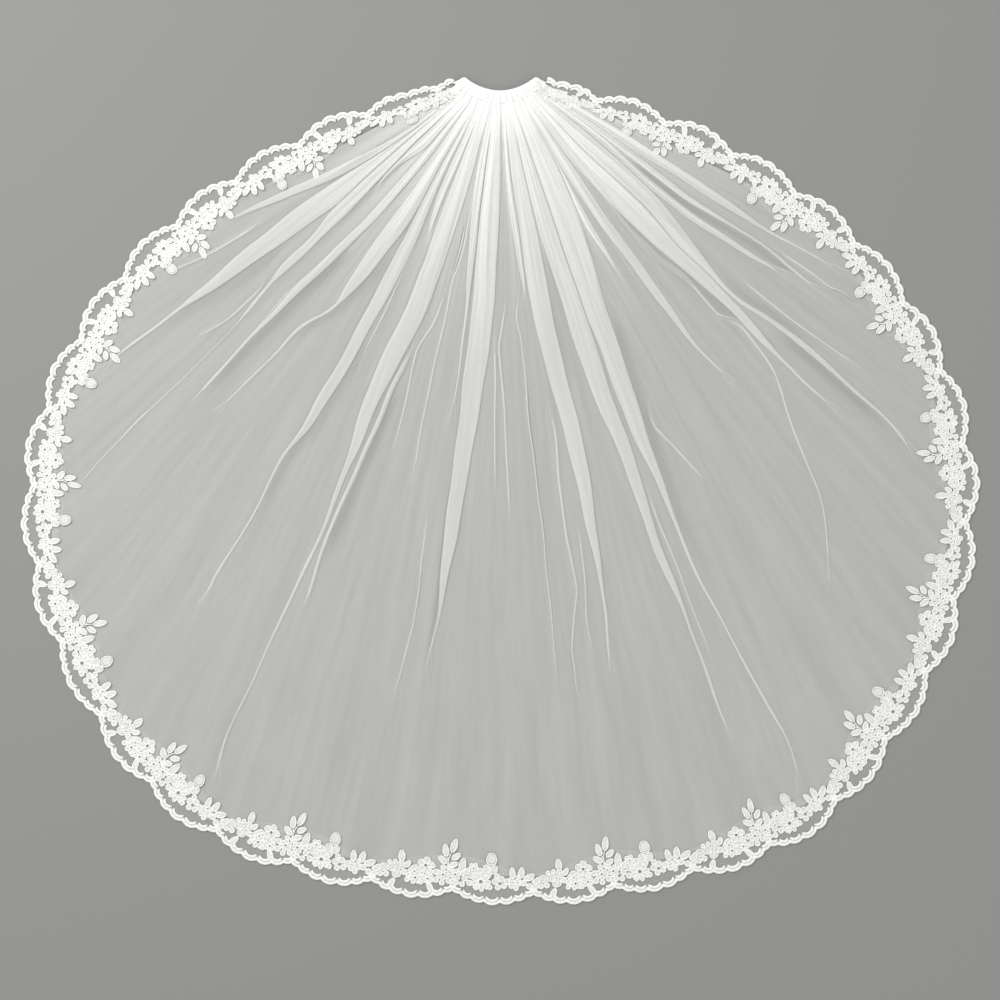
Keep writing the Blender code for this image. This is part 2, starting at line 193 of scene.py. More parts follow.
# %% The sewn line as points, outward directions and lengths
def sewn_outline(samples=1440):
    """Points of the sewn line, the outward direction at each, and the length up to it."""
    direction = np.radians(np.linspace(LACE_START_DEG, LACE_END_DEG - 360.0, samples))
    c, s = np.cos(direction), np.sin(direction)
    fullness = np.where(s > 0, UPPER_FULLNESS, LOWER_FULLNESS)
    radius = (
        (np.abs(c) / VALLEY_HALF_WIDTH) ** fullness
        + (np.abs(s) / VALLEY_HALF_LENGTH) ** fullness
    ) ** (-1.0 / fullness)
    points = np.stack([radius * c, radius * s], axis=1)
    along = np.gradient(points, axis=0)
    along /= np.linalg.norm(along, axis=1)[:, None]
    outward = np.stack([-along[:, 1], along[:, 0]], axis=1)
    steps = np.linalg.norm(np.diff(points, axis=0), axis=1)
    length = np.concatenate([[0.0], np.cumsum(steps)])
    to_end = np.minimum(length, length[-1] - length)
    lift = CORNER_LIFT * (1.0 - ease(to_end, 0.0, CORNER_LIFT_LENGTH))
    lift += through(length, WANDER_ALONG, WANDER_OUT)
    return points + lift[:, None] * outward, outward, length


OUTLINE, OUTWARD, ALONG = sewn_outline()
LACE_LENGTH = ALONG[-1]
print("sewn line:", round(LACE_LENGTH, 3), "m")

# %% [markdown]
# ## The fan
#
# Every fold starts at the heading and points away from one pole just beyond it, so a direction
# in degrees and a distance from the pole are the natural way to say where cloth lies. The table
# has a row for each pressed fold, from left to right: its two edges where it leaves the gathers,
# its two edges and the distance where it is widest, the tip where its layers run out, and the
# end of the thin crease that carries on from the tip.

# %% The heading and the fan
FAN_POLE = (-0.0010, 0.4900)
HEADING_RADIUS = 0.0345             # from the pole, at the middle of the heading's hollow
CORNER_RADIUS = 0.0455
CORNER_DEG = 67.5
SIDE_LEFT = 62.4                    # degrees from straight down to the net's side edges
SIDE_RIGHT = 64.2
UPPER_RADIUS = 0.125                # where a fold leaves the gathers
NET_WALL = 0.0010
GATHER_THICKNESS = 0.0040
GATHER_LENGTH = 0.070
BINDING_DEPTH = 0.0130
BINDING_CLEAR = 0.0200
BINDING_WALL = 0.0008
COMB_THICKNESS = 0.0020
GAP = 0.0003                        # between pieces that lie on each other
LAID_FROM, LAID_BY = 0.086, 0.112   # the net comes down to the table between these distances
SIDE_FROM, SIDE_BY = 0.70, 0.86     # and at the sides between these shares
print("heading:", round(2000 * CORNER_RADIUS * math.sin(math.radians(CORNER_DEG))), "mm across")

# %% The pressed folds
FOLD_COLUMNS = (
    "upper_left", "upper_right", "belly", "belly_left", "belly_right",
    "tip", "tip_deg", "end", "end_deg", "taper",
)
FOLDS = (
    (-53.5, -52.0, 0.210, -57.0, -54.4, 0.362, -60.0, 0.370, -60.1, 0.8),
    (-52.0, -49.9, 0.250, -54.3, -49.2, 0.462, -52.5, 0.580, -52.4, 0.8),
    (-49.9, -46.5, 0.217, -49.0, -45.4, 0.382, -46.3, 0.695, -44.2, 0.8),
    (-46.5, -41.0, 0.165, -46.0, -44.5, 0.200, -45.2, 0.210, -45.2, 0.8),
    (-39.7, -36.7, 0.217, -40.7, -38.4, 0.456, -42.4, 0.524, -42.0, 0.9),
    (-33.8, -30.0, 0.205, -34.5, -29.5, 0.334, -34.4, 0.519, -38.8, 0.8),
    (-30.0, -27.0, 0.245, -28.4, -25.2, 0.502, -28.5, 0.707, -29.0, 0.8),
    (-25.6, -22.4, 0.160, -25.2, -22.6, 0.217, -22.5, 0.225, -22.4, 0.8),
    (-21.0, -14.0, 0.319, -21.3, -17.4, 0.570, -20.8, 0.884, -21.8, 0.6),
    (-12.0, -8.2, 0.188, -10.2, -7.8, 0.285, -7.6, 0.413, -7.9, 0.8),
    (-7.4, 0.3, 0.388, -6.4, -3.2, 0.576, -6.3, 0.701, -6.7, 0.5),
    (3.2, 5.5, 0.171, 3.8, 6.5, 0.268, 6.2, 0.278, 6.2, 0.8),
    (5.5, 12.3, 0.342, 8.4, 11.8, 0.638, 10.9, 0.712, 10.5, 0.5),
    (12.4, 18.7, 0.342, 15.1, 18.6, 0.673, 18.0, 0.821, 18.2, 0.75),
    (18.8, 29.3, 0.342, 19.1, 22.7, 0.559, 20.7, 0.900, 22.2, 1.0),
    (29.5, 30.0, 0.194, 27.4, 29.4, 0.271, 29.5, 0.281, 29.6, 0.8),
    (30.2, 35.2, 0.205, 31.6, 34.7, 0.401, 34.9, 0.456, 36.1, 0.8),
    (35.4, 43.4, 0.228, 39.0, 44.8, 0.490, 43.8, 0.559, 43.9, 0.8),
    (43.6, 51.4, 0.228, 45.2, 49.5, 0.616, 46.9, 0.652, 45.8, 2.2),
    (51.6, 54.3, 0.234, 49.9, 51.8, 0.399, 53.2, 0.409, 53.3, 0.8),
    (54.5, 56.8, 0.256, 53.6, 54.9, 0.342, 55.0, 0.456, 54.3, 0.8),
    (57.0, 61.0, 0.256, 57.0, 59.2, 0.365, 58.0, 0.461, 58.4, 0.8),
)
print("fan:", len(FOLDS), "pressed folds from", FOLDS[0][0], "to", FOLDS[-1][1], "degrees")

# %% How the long folds run
# For a fold that is looked at closely: its two edges again at several distances beyond where it
# is widest. Where they meet, the fold is a thin crease, and it bends where the cloth was nudged.
COURSES = {
    2: ((0.254, -48.6, -44.6), (0.288, -47.5, -45.2), (0.344, -47.0, -45.8), (0.369, -46.0, -46.0),
        (0.434, -44.7, -44.7), (0.483, -44.7, -44.7), (0.577, -45.2, -45.2), (0.695, -44.2, -44.2)),
    5: ((0.265, -35.0, -31.3), (0.303, -34.8, -32.6), (0.333, -34.3, -33.9), (0.373, -36.7, -36.7),
        (0.416, -37.5, -37.5), (0.457, -38.2, -38.2), (0.519, -39.4, -39.4)),
    6: ((0.345, -28.3, -26.1), (0.435, -28.5, -27.1), (0.470, -28.4, -27.5), (0.505, -28.7, -28.6),
        (0.598, -28.7, -28.7), (0.666, -28.95, -28.95), (0.699, -28.8, -28.8), (0.717, -29.1, -29.1)),
    8: ((0.360, -21.8, -18.6), (0.415, -21.8, -19.7), (0.460, -21.4, -19.95), (0.497, -21.2, -20.5),
        (0.537, -21.05, -20.6), (0.587, -20.95, -20.8), (0.689, -21.5, -21.5), (0.763, -21.9, -21.9),
        (0.833, -22.1, -22.1), (0.884, -21.6, -21.6)),
    10: ((0.479, -6.75, -4.7), (0.538, -6.6, -5.1), (0.597, -6.55, -5.86), (0.643, -6.5, -6.4),
         (0.667, -6.75, -6.75), (0.682, -6.9, -6.9), (0.705, -6.7, -6.7)),
    12: ((0.486, 10.45, 12.2), (0.544, 10.65, 11.7), (0.603, 10.75, 11.15), (0.633, 10.8, 10.85),
         (0.674, 10.5, 10.5), (0.712, 10.4, 10.4)),
    13: ((0.499, 17.15, 18.6), (0.561, 17.55, 18.4), (0.623, 17.95, 18.65), (0.655, 18.3, 18.6),
         (0.683, 18.5, 18.5), (0.730, 18.7, 18.7), (0.773, 18.8, 18.8), (0.821, 18.95, 18.95)),
    14: ((0.430, 19.6, 21.9), (0.510, 20.3, 21.2), (0.572, 20.75, 21.0), (0.636, 21.2, 21.2),
         (0.684, 21.6, 21.6), (0.757, 22.3, 22.3), (0.804, 22.8, 22.8), (0.849, 22.9, 22.9),
         (0.872, 22.7, 22.7), (0.900, 22.2, 22.2)),
    15: ((0.271, 29.4, 29.6), (0.281, 29.6, 29.6), (0.600, 28.9, 28.9), (0.707, 27.4, 27.4)),
    16: ((0.300, 33.1, 34.9), (0.360, 34.05, 34.95), (0.401, 34.8, 35.0), (0.456, 36.1, 36.1),
         (0.536, 36.3, 36.3), (0.627, 34.4, 34.4), (0.707, 30.2, 30.2), (0.800, 28.6, 28.6)),
    17: ((0.298, 41.1, 44.3), (0.335, 41.9, 44.4), (0.375, 42.65, 44.2), (0.423, 43.1, 44.1),
         (0.473, 43.45, 43.6), (0.559, 43.9, 43.9)),
    18: ((0.298, 44.5, 47.2), (0.335, 44.6, 45.8), (0.375, 44.6, 45.2), (0.423, 45.8, 46.4),
         (0.474, 46.8, 47.4), (0.536, 47.0, 47.4), (0.592, 47.2, 47.4), (0.652, 46.6, 46.6)),
}
print("fan:", len(COURSES), "folds have a course of their own")

# %% Loose creases between the folds
# Each is (width in mm, then the distance and direction of a few points along it).
CREASES = (
    (1.8, (0.348, -56.1), (0.399, -56.8), (0.462, -58.0)),
    (1.8, (0.385, -46.6), (0.436, -46.9), (0.471, -47.8)),
    (2.2, (0.336, -42.7), (0.375, -43.7), (0.423, -44.3)),
    (1.6, (0.184, -34.1), (0.198, -35.3), (0.212, -36.6)),
    (3.2, (0.236, -24.2), (0.299, -23.0), (0.375, -22.4)),
    (5.0, (0.365, -18.3), (0.406, -18.55), (0.526, -19.6), (0.584, -20.1), (0.620, -19.95),
     (0.666, -19.8)),
    (1.8, (0.288, -16.6), (0.375, -15.8), (0.466, -15.4)),
    (1.6, (0.200, -14.0), (0.225, -13.6), (0.255, -13.8)),
    (1.6, (0.194, -12.5), (0.260, -12.3), (0.408, -12.1), (0.490, -12.0)),
    (1.8, (0.540, -7.0), (0.627, -8.5), (0.741, -9.5)),
    (1.6, (0.336, -1.0), (0.404, -0.9), (0.499, -0.4)),
    (1.8, (0.293, -0.4), (0.356, 0.2), (0.466, 1.1), (0.523, 1.3)),
    (1.8, (0.284, 5.0), (0.336, 4.7), (0.451, 5.5), (0.538, 6.1), (0.587, 6.25), (0.618, 5.65),
     (0.680, 5.7), (0.712, 5.8)),
    (1.8, (0.420, 8.4), (0.481, 8.1), (0.587, 8.15), (0.608, 8.25), (0.633, 7.7), (0.668, 7.1),
     (0.708, 6.8), (0.735, 7.2)),
    (1.2, (0.557, 9.5), (0.600, 9.2), (0.647, 8.85), (0.694, 9.05)),
    (1.4, (0.533, 18.9), (0.603, 19.4), (0.640, 19.45), (0.690, 19.5), (0.724, 19.5)),
    (2.0, (0.450, 23.0), (0.490, 24.7), (0.543, 26.4)),
    (1.8, (0.340, 41.0), (0.375, 40.8), (0.410, 40.6)),
    (2.2, (0.410, 42.5), (0.456, 42.0), (0.536, 38.5), (0.627, 36.0), (0.707, 32.0)),
    (1.6, (0.388, 48.0), (0.445, 48.6), (0.547, 50.0)),
    (1.6, (0.399, 55.8), (0.439, 56.0), (0.490, 55.2)),
)
print("fan:", len(CREASES), "loose creases")

# %% Where a direction and a distance lie
LACE_PINCH = 0.38           # of its depth that the lace's inner edge keeps at the heading
LACE_PINCH_LENGTH = 0.20
NET_INSET = 0.0160          # from the sewn line in to the edge of the veil's net


def lace_draw(distance):
    """The share of its depth that the lace keeps, drawn in towards both ends."""
    end = np.minimum(distance, LACE_LENGTH - distance)
    return LACE_PINCH + (1.0 - LACE_PINCH) * ease(end, 0.0, LACE_PINCH_LENGTH)


def lace_point(distance, inward):
    """A point at this distance along the lace and this far in from the sewn line."""
    inset = inward * lace_draw(distance)
    x = np.interp(distance, ALONG, OUTLINE[:, 0]) - inset * np.interp(distance, ALONG, OUTWARD[:, 0])
    y = np.interp(distance, ALONG, OUTLINE[:, 1]) - inset * np.interp(distance, ALONG, OUTWARD[:, 1])
    return x, y


def net_edge():
    """The net's edge under the lace: direction from the pole against distance from it."""
    x, y = lace_point(np.linspace(0.0, LACE_LENGTH, 900), NET_INSET)
    dx, dy = x - FAN_POLE[0], FAN_POLE[1] - y
    direction, radius = np.degrees(np.arctan2(dx, dy)), np.hypot(dx, dy)
    inside = radius > 0.24
    order = np.argsort(direction[inside])
    return direction[inside][order], radius[inside][order]


EDGE_DEG, EDGE_RADIUS = net_edge()


def share_of(degrees):
    """-1 to 1 from side edge to side edge."""
    return np.where(degrees > 0, degrees / SIDE_RIGHT, degrees / SIDE_LEFT)


def heading_radius(share):
    """The heading's hollow edge: its distance from the pole."""
    return HEADING_RADIUS + (CORNER_RADIUS - HEADING_RADIUS) * np.abs(share) ** 2.2


def spread_at(degrees, radius):
    """The fan is drawn out this much wider near the heading's corners."""
    side = np.where(degrees > 0, SIDE_RIGHT, SIDE_LEFT)
    return 1.0 + (CORNER_DEG / side - 1.0) * (1.0 - ease(radius, CORNER_RADIUS, 0.060))


def place(degrees, radius):
    """x and y of a direction and a distance."""
    turned = np.radians(degrees * spread_at(degrees, radius))
    return FAN_POLE[0] + radius * np.sin(turned), FAN_POLE[1] - radius * np.cos(turned)


print("net edge:", round(EDGE_RADIUS.min(), 3), "to", round(EDGE_RADIUS.max(), 3), "m from the pole")

# %% [markdown]
# ## Folding the net
#
# The net is one sheet, so one long row of points runs across it from side to side: along the
# ground, under the first fold, back over itself, forward again on top, and on to the next fold.
# Each lengthwise line of the mesh keeps its place in that row all the way from the heading to
# the hem. First the edges of the folds are worked out at many distances, and neighbours that
# would cross are pushed apart.

# %% Edges of the folds at every distance
RADII = np.linspace(0.030, 0.970, 377)
SOFT_END = 0.030            # a crease opens out over this length
LAYER = np.minimum(0.0008, 0.006 * RADII)       # height from one layer to the next
LAYER_DEG = np.degrees(LAYER / RADII)
TURN = 0.3                  # how far a fold's edge bulges, in layers
STEP_DOWN = 1.2             # how far the top layer takes to come down
LEAST_FOLD = 0.0004         # a fold's two edges are kept this far apart
TIP_WIDTH = 0.0022          # of the crease that a fold runs out to
TIP_THINS = 0.0012          # and what that crease has lost at its end
WANDER_MIDDLE, WANDER_EDGE = 0.0008, 0.0006
PUSH_ROUNDS = 60
print("folds: worked out at", len(RADII), "distances, up to", RADII[-1], "m from the pole")


# %% The band of one fold
def wander(which, reach):
    """Sideways drift in degrees: no fold that is laid by hand runs quite straight."""
    slow = np.sin(2 * np.pi * RADII / (0.170 + 0.013 * (which * 5 % 7)) + 2.3 * which)
    quick = np.sin(2 * np.pi * RADII / (0.071 + 0.006 * (which * 3 % 5)) + 4.1 * which)
    return np.degrees(reach * (slow + 0.45 * quick) * ease(RADII, 0.13, 0.30) / RADII)


def fold_band(which, row):
    """Left and right edge in degrees and strength of one fold at every distance."""
    f = dict(zip(FOLD_COLUMNS, row))
    middle = through(
        np.maximum(RADII, UPPER_RADIUS),
        (UPPER_RADIUS, f["belly"], f["tip"], f["end"]),
        (
            (f["upper_left"] + f["upper_right"]) / 2,
            (f["belly_left"] + f["belly_right"]) / 2,
            f["tip_deg"],
            f["end_deg"],
        ),
    )
    upper = f["upper_right"] - f["upper_left"]
    belly = f["belly_right"] - f["belly_left"]
    left_over = np.clip(1.0 - (RADII - f["belly"]) / (f["tip"] - f["belly"]), 0.0, 1.0)
    width = np.where(
        RADII < f["belly"],
        upper + (belly - upper) * ease(RADII, UPPER_RADIUS, f["belly"]),
        belly * left_over ** f["taper"],
    )
    if which in COURSES:
        course = np.array([
            (UPPER_RADIUS, f["upper_left"], f["upper_right"]),
            (f["belly"], f["belly_left"], f["belly_right"]), *COURSES[which]])
        at = np.maximum(RADII, UPPER_RADIUS)
        left, right = through(at, course[:, 0], course[:, 1]), through(at, course[:, 0], course[:, 2])
        middle, width = (left + right) / 2, right - left
    crease = TIP_WIDTH - TIP_THINS * ease(RADII, f["tip"], f["end"])
    width = np.maximum(width, np.degrees(crease / RADII))
    strength = 1.0 - ease(RADII, f["end"] - SOFT_END, f["end"] + 0.5 * SOFT_END)
    middle = middle + wander(which, WANDER_MIDDLE)
    uneven = np.minimum(wander(which + 31, WANDER_EDGE), 0.25 * width)
    return middle - width / 2 + uneven, middle + width / 2, strength


bands = [fold_band(which, row) for which, row in enumerate(FOLDS)]
edges = np.array([edge for left, right, _ in bands for edge in (left, right)])
strengths = [band[2] for band in bands]
print("bands:", len(bands), "with", len(edges), "edges")

# %% Push neighbours apart
for _ in range(PUSH_ROUNDS):
    for k in range(len(edges) - 1):
        apart = np.degrees(LEAST_FOLD / RADII) if k % 2 == 0 else (STEP_DOWN + TURN + 0.3) * LAYER_DEG
        short = np.maximum(apart - (edges[k + 1] - edges[k]), 0.0) / 2
        edges[k] -= short
        edges[k + 1] += short
widest = np.max(np.radians(edges[1::2] - edges[::2]) * RADII)
print("folds: the widest is", round(float(widest) * 1000, 1), "mm across")

# %% [markdown]
# A fold's lines don't end where the fold does. They open out there into a narrow flat band, and
# that band needs room of its own, so it gives way sideways to any fold that still stands beside it.

# %% Room for the folds that have opened out
REST_SPACING = 0.0010       # between a fold's lines where it has opened out
FOLD_LINES = 19
CLEARANCE_DEG = 0.03
STANDING_GIVES = 0.02       # how readily a standing fold moves, where an opened one counts 1
OPEN_ROUNDS = 80


def fold_reach(fold):
    """The outer edges in degrees of one fold, as folded and as it opens out beyond its end."""
    left, right, strength = edges[2 * fold], edges[2 * fold + 1], strengths[fold]
    middle = (left + right) / 2
    half = np.degrees(REST_SPACING / RADII) * (FOLD_LINES - 1) / 2
    return (
        strength * (left - TURN * LAYER_DEG) + (1.0 - strength) * (middle - half),
        strength * (right + STEP_DOWN * LAYER_DEG) + (1.0 - strength) * (middle + half),
    )


for _ in range(OPEN_ROUNDS):
    for fold in range(len(FOLDS) - 1):
        crossed = np.maximum(fold_reach(fold)[1] + CLEARANCE_DEG - fold_reach(fold + 1)[0], 0.0)
        give, take = 1.0 + STANDING_GIVES - strengths[fold], 1.0 + STANDING_GIVES - strengths[fold + 1]
        edges[2 * fold:2 * fold + 2] -= crossed * give / (give + take)
        edges[2 * fold + 2:2 * fold + 4] += crossed * take / (give + take)
print("folds: each opens out over", round((FOLD_LINES - 1) * REST_SPACING * 1000), "mm")


# %% Creases, each in the gap between two folds
def gap_bounds(gap):
    """Left and right limit in degrees of the ground between two folds."""
    left = fold_reach(gap - 1)[1] if gap > 0 else np.full(len(RADII), -SIDE_LEFT)
    right = fold_reach(gap)[0] if gap < len(FOLDS) else np.full(len(RADII), SIDE_RIGHT)
    crossed = np.maximum(left - right, 0.0) / 2
    return left - crossed, right + crossed + 1e-4


def gap_of(crease):
    """The gap between folds that the middle of a loose crease lies in."""
    distance, direction = crease[len(crease) // 2]
    at = int(np.argmin(np.abs(RADII - distance)))
    off = []
    for gap in range(len(FOLDS) + 1):
        left, right = gap_bounds(gap)
        off.append(max(left[at] - direction, direction - right[at], 0.0))
    return int(np.argmin(off))


def crease_line(crease, left, right, rank, count):
    """Middle in degrees, half width in degrees and strength of a loose crease."""
    points = crease[1:]
    first, last = points[0][0], points[-1][0]
    own = through(RADII, [p[0] for p in points], [p[1] for p in points])
    own = own + wander(int(1000 * first), WANDER_MIDDLE)
    shared = left + (right - left) * rank / (count + 1)
    middle = shared + (own - shared) * ease(RADII, first - 0.06, first)
    half = np.degrees(crease[0] / 2000 / RADII) * (1.0 - 0.5 * ease(RADII, first, last))
    half = np.minimum(half, 0.2 * (right - left) / count)
    middle = np.clip(middle, left + 1.6 * half, right - 1.6 * half)
    risen = ease(RADII, first - SOFT_END, first)
    run_out = ease(RADII, last - SOFT_END, last + 0.3 * SOFT_END)
    return middle, half, risen * (1.0 - run_out)


gap_creases = {gap: [] for gap in range(len(FOLDS) + 1)}
for crease in CREASES:
    gap_creases[gap_of(crease)].append(crease)
for gap, found in gap_creases.items():
    found.sort(key=lambda crease: crease[len(crease) // 2][1])
print("creases in gaps:", {gap: len(found) for gap, found in gap_creases.items() if found})

# %% [markdown]
# Now the row of points is laid out. `lines` collects one entry for each lengthwise line: its
# direction at every distance, how high it stands, how much denser the net looks there (a folded
# edge is seen along the cloth, and beside some folds the net is made thinner as painted shade),
# and a small shift of the weave, so that the layers of a fold don't cover each other thread for
# thread.

# %% How a fold, a crease and a painted shade are laid
# A fold as (place from left edge 0 to right edge 1, extra in layers, height in layers, density).
# "L" and "R" are the edges of a smaller pleat that lies inside the fold's top layer.
FOLD_PATH = (
    (0.33, 0.0, 0.0, 1.0), (0.67, 0.0, 0.0, 1.0), (1.0, 0.0, 0.0, 1.3),
    (1.0, TURN, 0.5, 2.6), (1.0, 0.0, 1.0, 1.3), (0.5, 0.0, 1.0, 1.0),
    (0.0, 0.0, 1.0, 1.3), (0.0, -TURN, 1.5, 3.2), (0.0, 0.0, 2.0, 1.5),
    ("L-", 0.0, 2.2, 1.0), ("L", 0.0, 2.3, 1.0), ("M", 0.0, 2.3, 1.0),
    ("R", 0.0, 2.3, 1.0), ("R+", 0.0, 2.2, 1.0), (0.97, 0.0, 2.1, 1.0), (1.0, 0.0, 2.0, 1.3),
    (1.0, 0.4, 1.7, 2.2), (1.0, 0.8, 0.7, 1.6), (1.0, STEP_DOWN, 0.0, 1.0),
)
CREASE_PATH = (
    (1.0, 0.0, 0.0, 1.2), (1.0, TURN, 0.5, 2.4), (0.0, 0.0, 1.0, 1.2),
    (0.0, -TURN, 1.5, 2.6), (0.0, 0.0, 2.0, 1.4), (1.0, 0.0, 2.0, 1.4),
    (1.0, 0.8, 0.7, 1.4), (1.0, STEP_DOWN, 0.0, 1.0),
)
# Painted shade: strips beside some folds where the net is made thinner, so that it looks darker.
PAINTED_SHADES = (
    # fold, side, how far off its edge, from and to along it, reach across (metres), depth
    (4, 1, 0, 0.26, 0.52, 0.011, 0.60),
    (8, 1, 0.009, 0.38, 0.62, 0.010, 0.60),
    (1, 1, 0, 0.30, 0.50, 0.012, 0.35),
    (6, 1, 0, 0.34, 0.60, 0.010, 0.35),
    (18, -1, 0, 0.43, 0.62, 0.010, 0.50),
    (17, -1, 0, 0.20, 0.44, 0.011, 0.50),
    (20, -1, 0, 0.17, 0.46, 0.010, 0.60),
    (10, -1, 0, 0.48, 0.70, 0.008, 0.45),
    (12, 1, 0, 0.20, 0.40, 0.010, 0.30),
    (14, 1, 0, 0.30, 0.62, 0.010, 0.40),
    (5, 1, 0, 0.24, 0.42, 0.010, 0.40),
    (18, 1, 0, 0.34, 0.50, 0.010, 0.35),
)
FILL_SPACING = 0.0046       # between the lines on open ground
WEAVE_SHIFT = 0.00041       # from one layer to the next
print("a fold has", len(FOLD_PATH), "lines and a loose crease", len(CREASE_PATH))

# %% Adding lines to the sheet
ON_TABLE = np.zeros(len(RADII))     # the height of a line that lies flat
PLAIN = np.ones(len(RADII))         # the density of single net
lines = []
weave = 0.0


def add_line(degrees, height, dense, shift, folded=0.0):
    """One lengthwise line: each value at every distance, and the shift of its weave."""
    lines.append((degrees, height, dense, shift, folded * PLAIN))


add_line(-SIDE_LEFT * PLAIN, ON_TABLE, PLAIN, weave)
print("net: starts with", len(lines), "line, along its left side")


# %% The lines of one fold or crease
def inner_pleat(which):
    """The smaller pleat of one fold: its place across at every distance, and how dense it is."""
    start = 0.16 + 0.11 * (which * 7 % 5)
    across = 0.20 + 0.07 * (which * 3 % 4)
    sway = 0.07 * np.sin(2 * np.pi * RADII / 0.23 + 1.9 * which)
    left = np.clip(start + sway, 0.05, 0.60)
    right = np.clip(left + across + 0.5 * sway, left + 0.06, 0.93)
    extra = (1.1 + 0.4 * (which * 5 % 4)) * (1.0 - ease(RADII, 0.12, 0.30 + 0.04 * (which % 4)))
    places = {"L-": left - 0.03, "L": left, "M": (left + right) / 2, "R": right, "R+": right + 0.03}
    return places, {"L": 1.0 + extra, "M": 1.0 + 0.8 * extra, "R": 1.0 + extra}


def add_folded(path, left, right, strength, spacing, which=0):
    """One fold or crease: its lines as folded, blended to flat ground where it opens out."""
    global weave
    middle = (left + right) / 2
    places, denser = inner_pleat(which)
    thin_end = 0.35 + 0.65 * ease(np.radians(right - left) * RADII, 0.0008, 0.006)
    height_before = 0.0
    for k, (across, extra, height, dense) in enumerate(path):
        dense = dense * denser.get(across, 1.0)
        folded = left + places.get(across, across) * (right - left) + extra * LAYER_DEG
        flat = middle + (k - (len(path) - 1) / 2) * spacing
        degrees = strength * folded + (1.0 - strength) * flat
        if height >= 1.0 > height_before or height >= 2.0 > height_before:
            weave += WEAVE_SHIFT
        height_before = height
        dense = 1.0 + strength * strength * (dense - 1.0)
        add_line(degrees, strength * thin_end * height * LAYER, dense, weave, strength)


print("folds: the weave shifts by", WEAVE_SHIFT * 1000, "mm from layer to layer")


# %% The lines of open ground
def painted_shade_at(degrees):
    """Painted shade: under 1 beside some folds, where the net is thinned so that it looks darker."""
    light = PLAIN
    for fold, side, beyond, first, last, reach, depth in PAINTED_SHADES:
        clear = STEP_DOWN * LAYER_DEG + np.degrees(beyond / RADII)
        edge = edges[2 * fold + (side > 0)] + side * clear
        off = side * np.radians(degrees - edge) * RADII / reach
        along = ease(RADII, first, first + 0.04) * (1.0 - ease(RADII, last - 0.06, last))
        light = light * (1.0 - depth * along * np.exp(-((off - 0.35) ** 2) * 2.0))
    return light


def add_ground(left, right):
    """Even lines over open ground."""
    edge = np.interp((left + right) / 2, EDGE_DEG, EDGE_RADIUS)
    reach = np.radians(right - left) * RADII
    widest = float(np.max(np.where(RADII < edge, reach, 0.0)))
    count = int(widest / FILL_SPACING)
    for k in range(1, count + 1):
        degrees = left + (right - left) * k / (count + 1)
        # Painted shade: the ground's density drops beside some folds.
        add_line(degrees, ON_TABLE, painted_shade_at(degrees), weave)


print("ground: a line every", FILL_SPACING * 1000, "mm or less")

# %% Lay out the whole row, from the left side to the right
for gap in range(len(FOLDS) + 1):
    left, right = gap_bounds(gap)
    found = gap_creases[gap]
    at = left
    for rank, crease in enumerate(found, 1):
        middle, half, strength = crease_line(crease, left, right, rank, len(found))
        middle = np.maximum(middle, at + 2.2 * half)
        half = np.minimum(half, 0.3 * (right - middle) + 1e-5)
        room = np.minimum(middle - at, right - middle)
        reach = np.minimum(np.degrees(3.5 * REST_SPACING / RADII), 0.9 * room)
        reach = np.maximum(reach, 1e-5)
        out = strength * (half + STEP_DOWN * LAYER_DEG) + (1.0 - strength) * reach
        add_ground(at, middle - out)
        spacing = 2.0 * reach / (len(CREASE_PATH) - 1)
        add_folded(CREASE_PATH, middle - half, middle + half, strength, spacing)
        at = np.minimum(middle + out, right)
    add_ground(at, right)
    if gap < len(FOLDS):
        spacing = np.degrees(REST_SPACING / RADII)
        add_folded(FOLD_PATH, edges[2 * gap], edges[2 * gap + 1], strengths[gap], spacing, gap)
add_line(SIDE_RIGHT * PLAIN, ON_TABLE, PLAIN, weave)
print("net:", len(lines), "lengthwise lines")

# %% [markdown]
# The rows run from the heading to the hem, closer together near the gathers. The height of the
# ground comes from what lies beneath: the comb and the binding lift the net at the heading, and
# beyond them it comes down to the table. Small ridges stand where the gathers draw the net up.

# %% How many layers the gathers add up to
DENSE_RADIUS = (0.030, 0.046, 0.068, 0.091, 0.114, 0.148, 0.182, 0.228, 0.285, 0.342, 0.456)
OPEN_LAYERS = (20.0, 18.0, 7.5, 4.4, 3.1, 2.2, 1.7, 1.30, 1.12, 1.03, 1.0)
FOLD_LAYERS = (10.0, 10.0, 4.2, 2.5, 1.9, 1.55, 1.35, 1.17, 1.06, 1.0, 1.0)
print("gathers: up to", OPEN_LAYERS[0], "layers at the heading, one from", DENSE_RADIUS[-1], "m out")

# %% What lifts the net
NET_LIFT = 0.0004           # of the net's middle over what it lies on
RIDGE_HEIGHT = 0.0005       # of the fine gathers as they run out
SWELL_HEIGHT = 0.0016       # of the loose net between the folds


def underside(share, radius):
    """The net lies on the table, except where the comb and the binding lift it."""
    distance = radius - heading_radius(share)
    in_binding = COMB_THICKNESS + GAP + BINDING_WALL + GAP
    over_comb = COMB_THICKNESS + GAP
    height = in_binding + (over_comb - in_binding) * ease(distance, BINDING_DEPTH, BINDING_CLEAR)
    let_down = ease(radius, LAID_FROM, LAID_BY)
    at_side = ease(distance, BINDING_DEPTH + 0.0005, BINDING_CLEAR)
    at_side = at_side * ease(np.abs(share), SIDE_FROM, SIDE_BY)
    return height * (1.0 - np.maximum(let_down, at_side))


def bunch(share, radius):
    """How thick the gathers stand towards the heading."""
    distance = radius - heading_radius(share)
    flat_side = ease(np.abs(share), SIDE_FROM, SIDE_BY) * ease(distance, BINDING_DEPTH, BINDING_CLEAR)
    at_corner = 1.0 - 0.85 * ease(np.abs(share), 0.86, 0.96)
    gathered = GATHER_THICKNESS * (1.0 - ease(distance, BINDING_DEPTH, GATHER_LENGTH))
    return gathered * (1.0 - flat_side) * at_corner


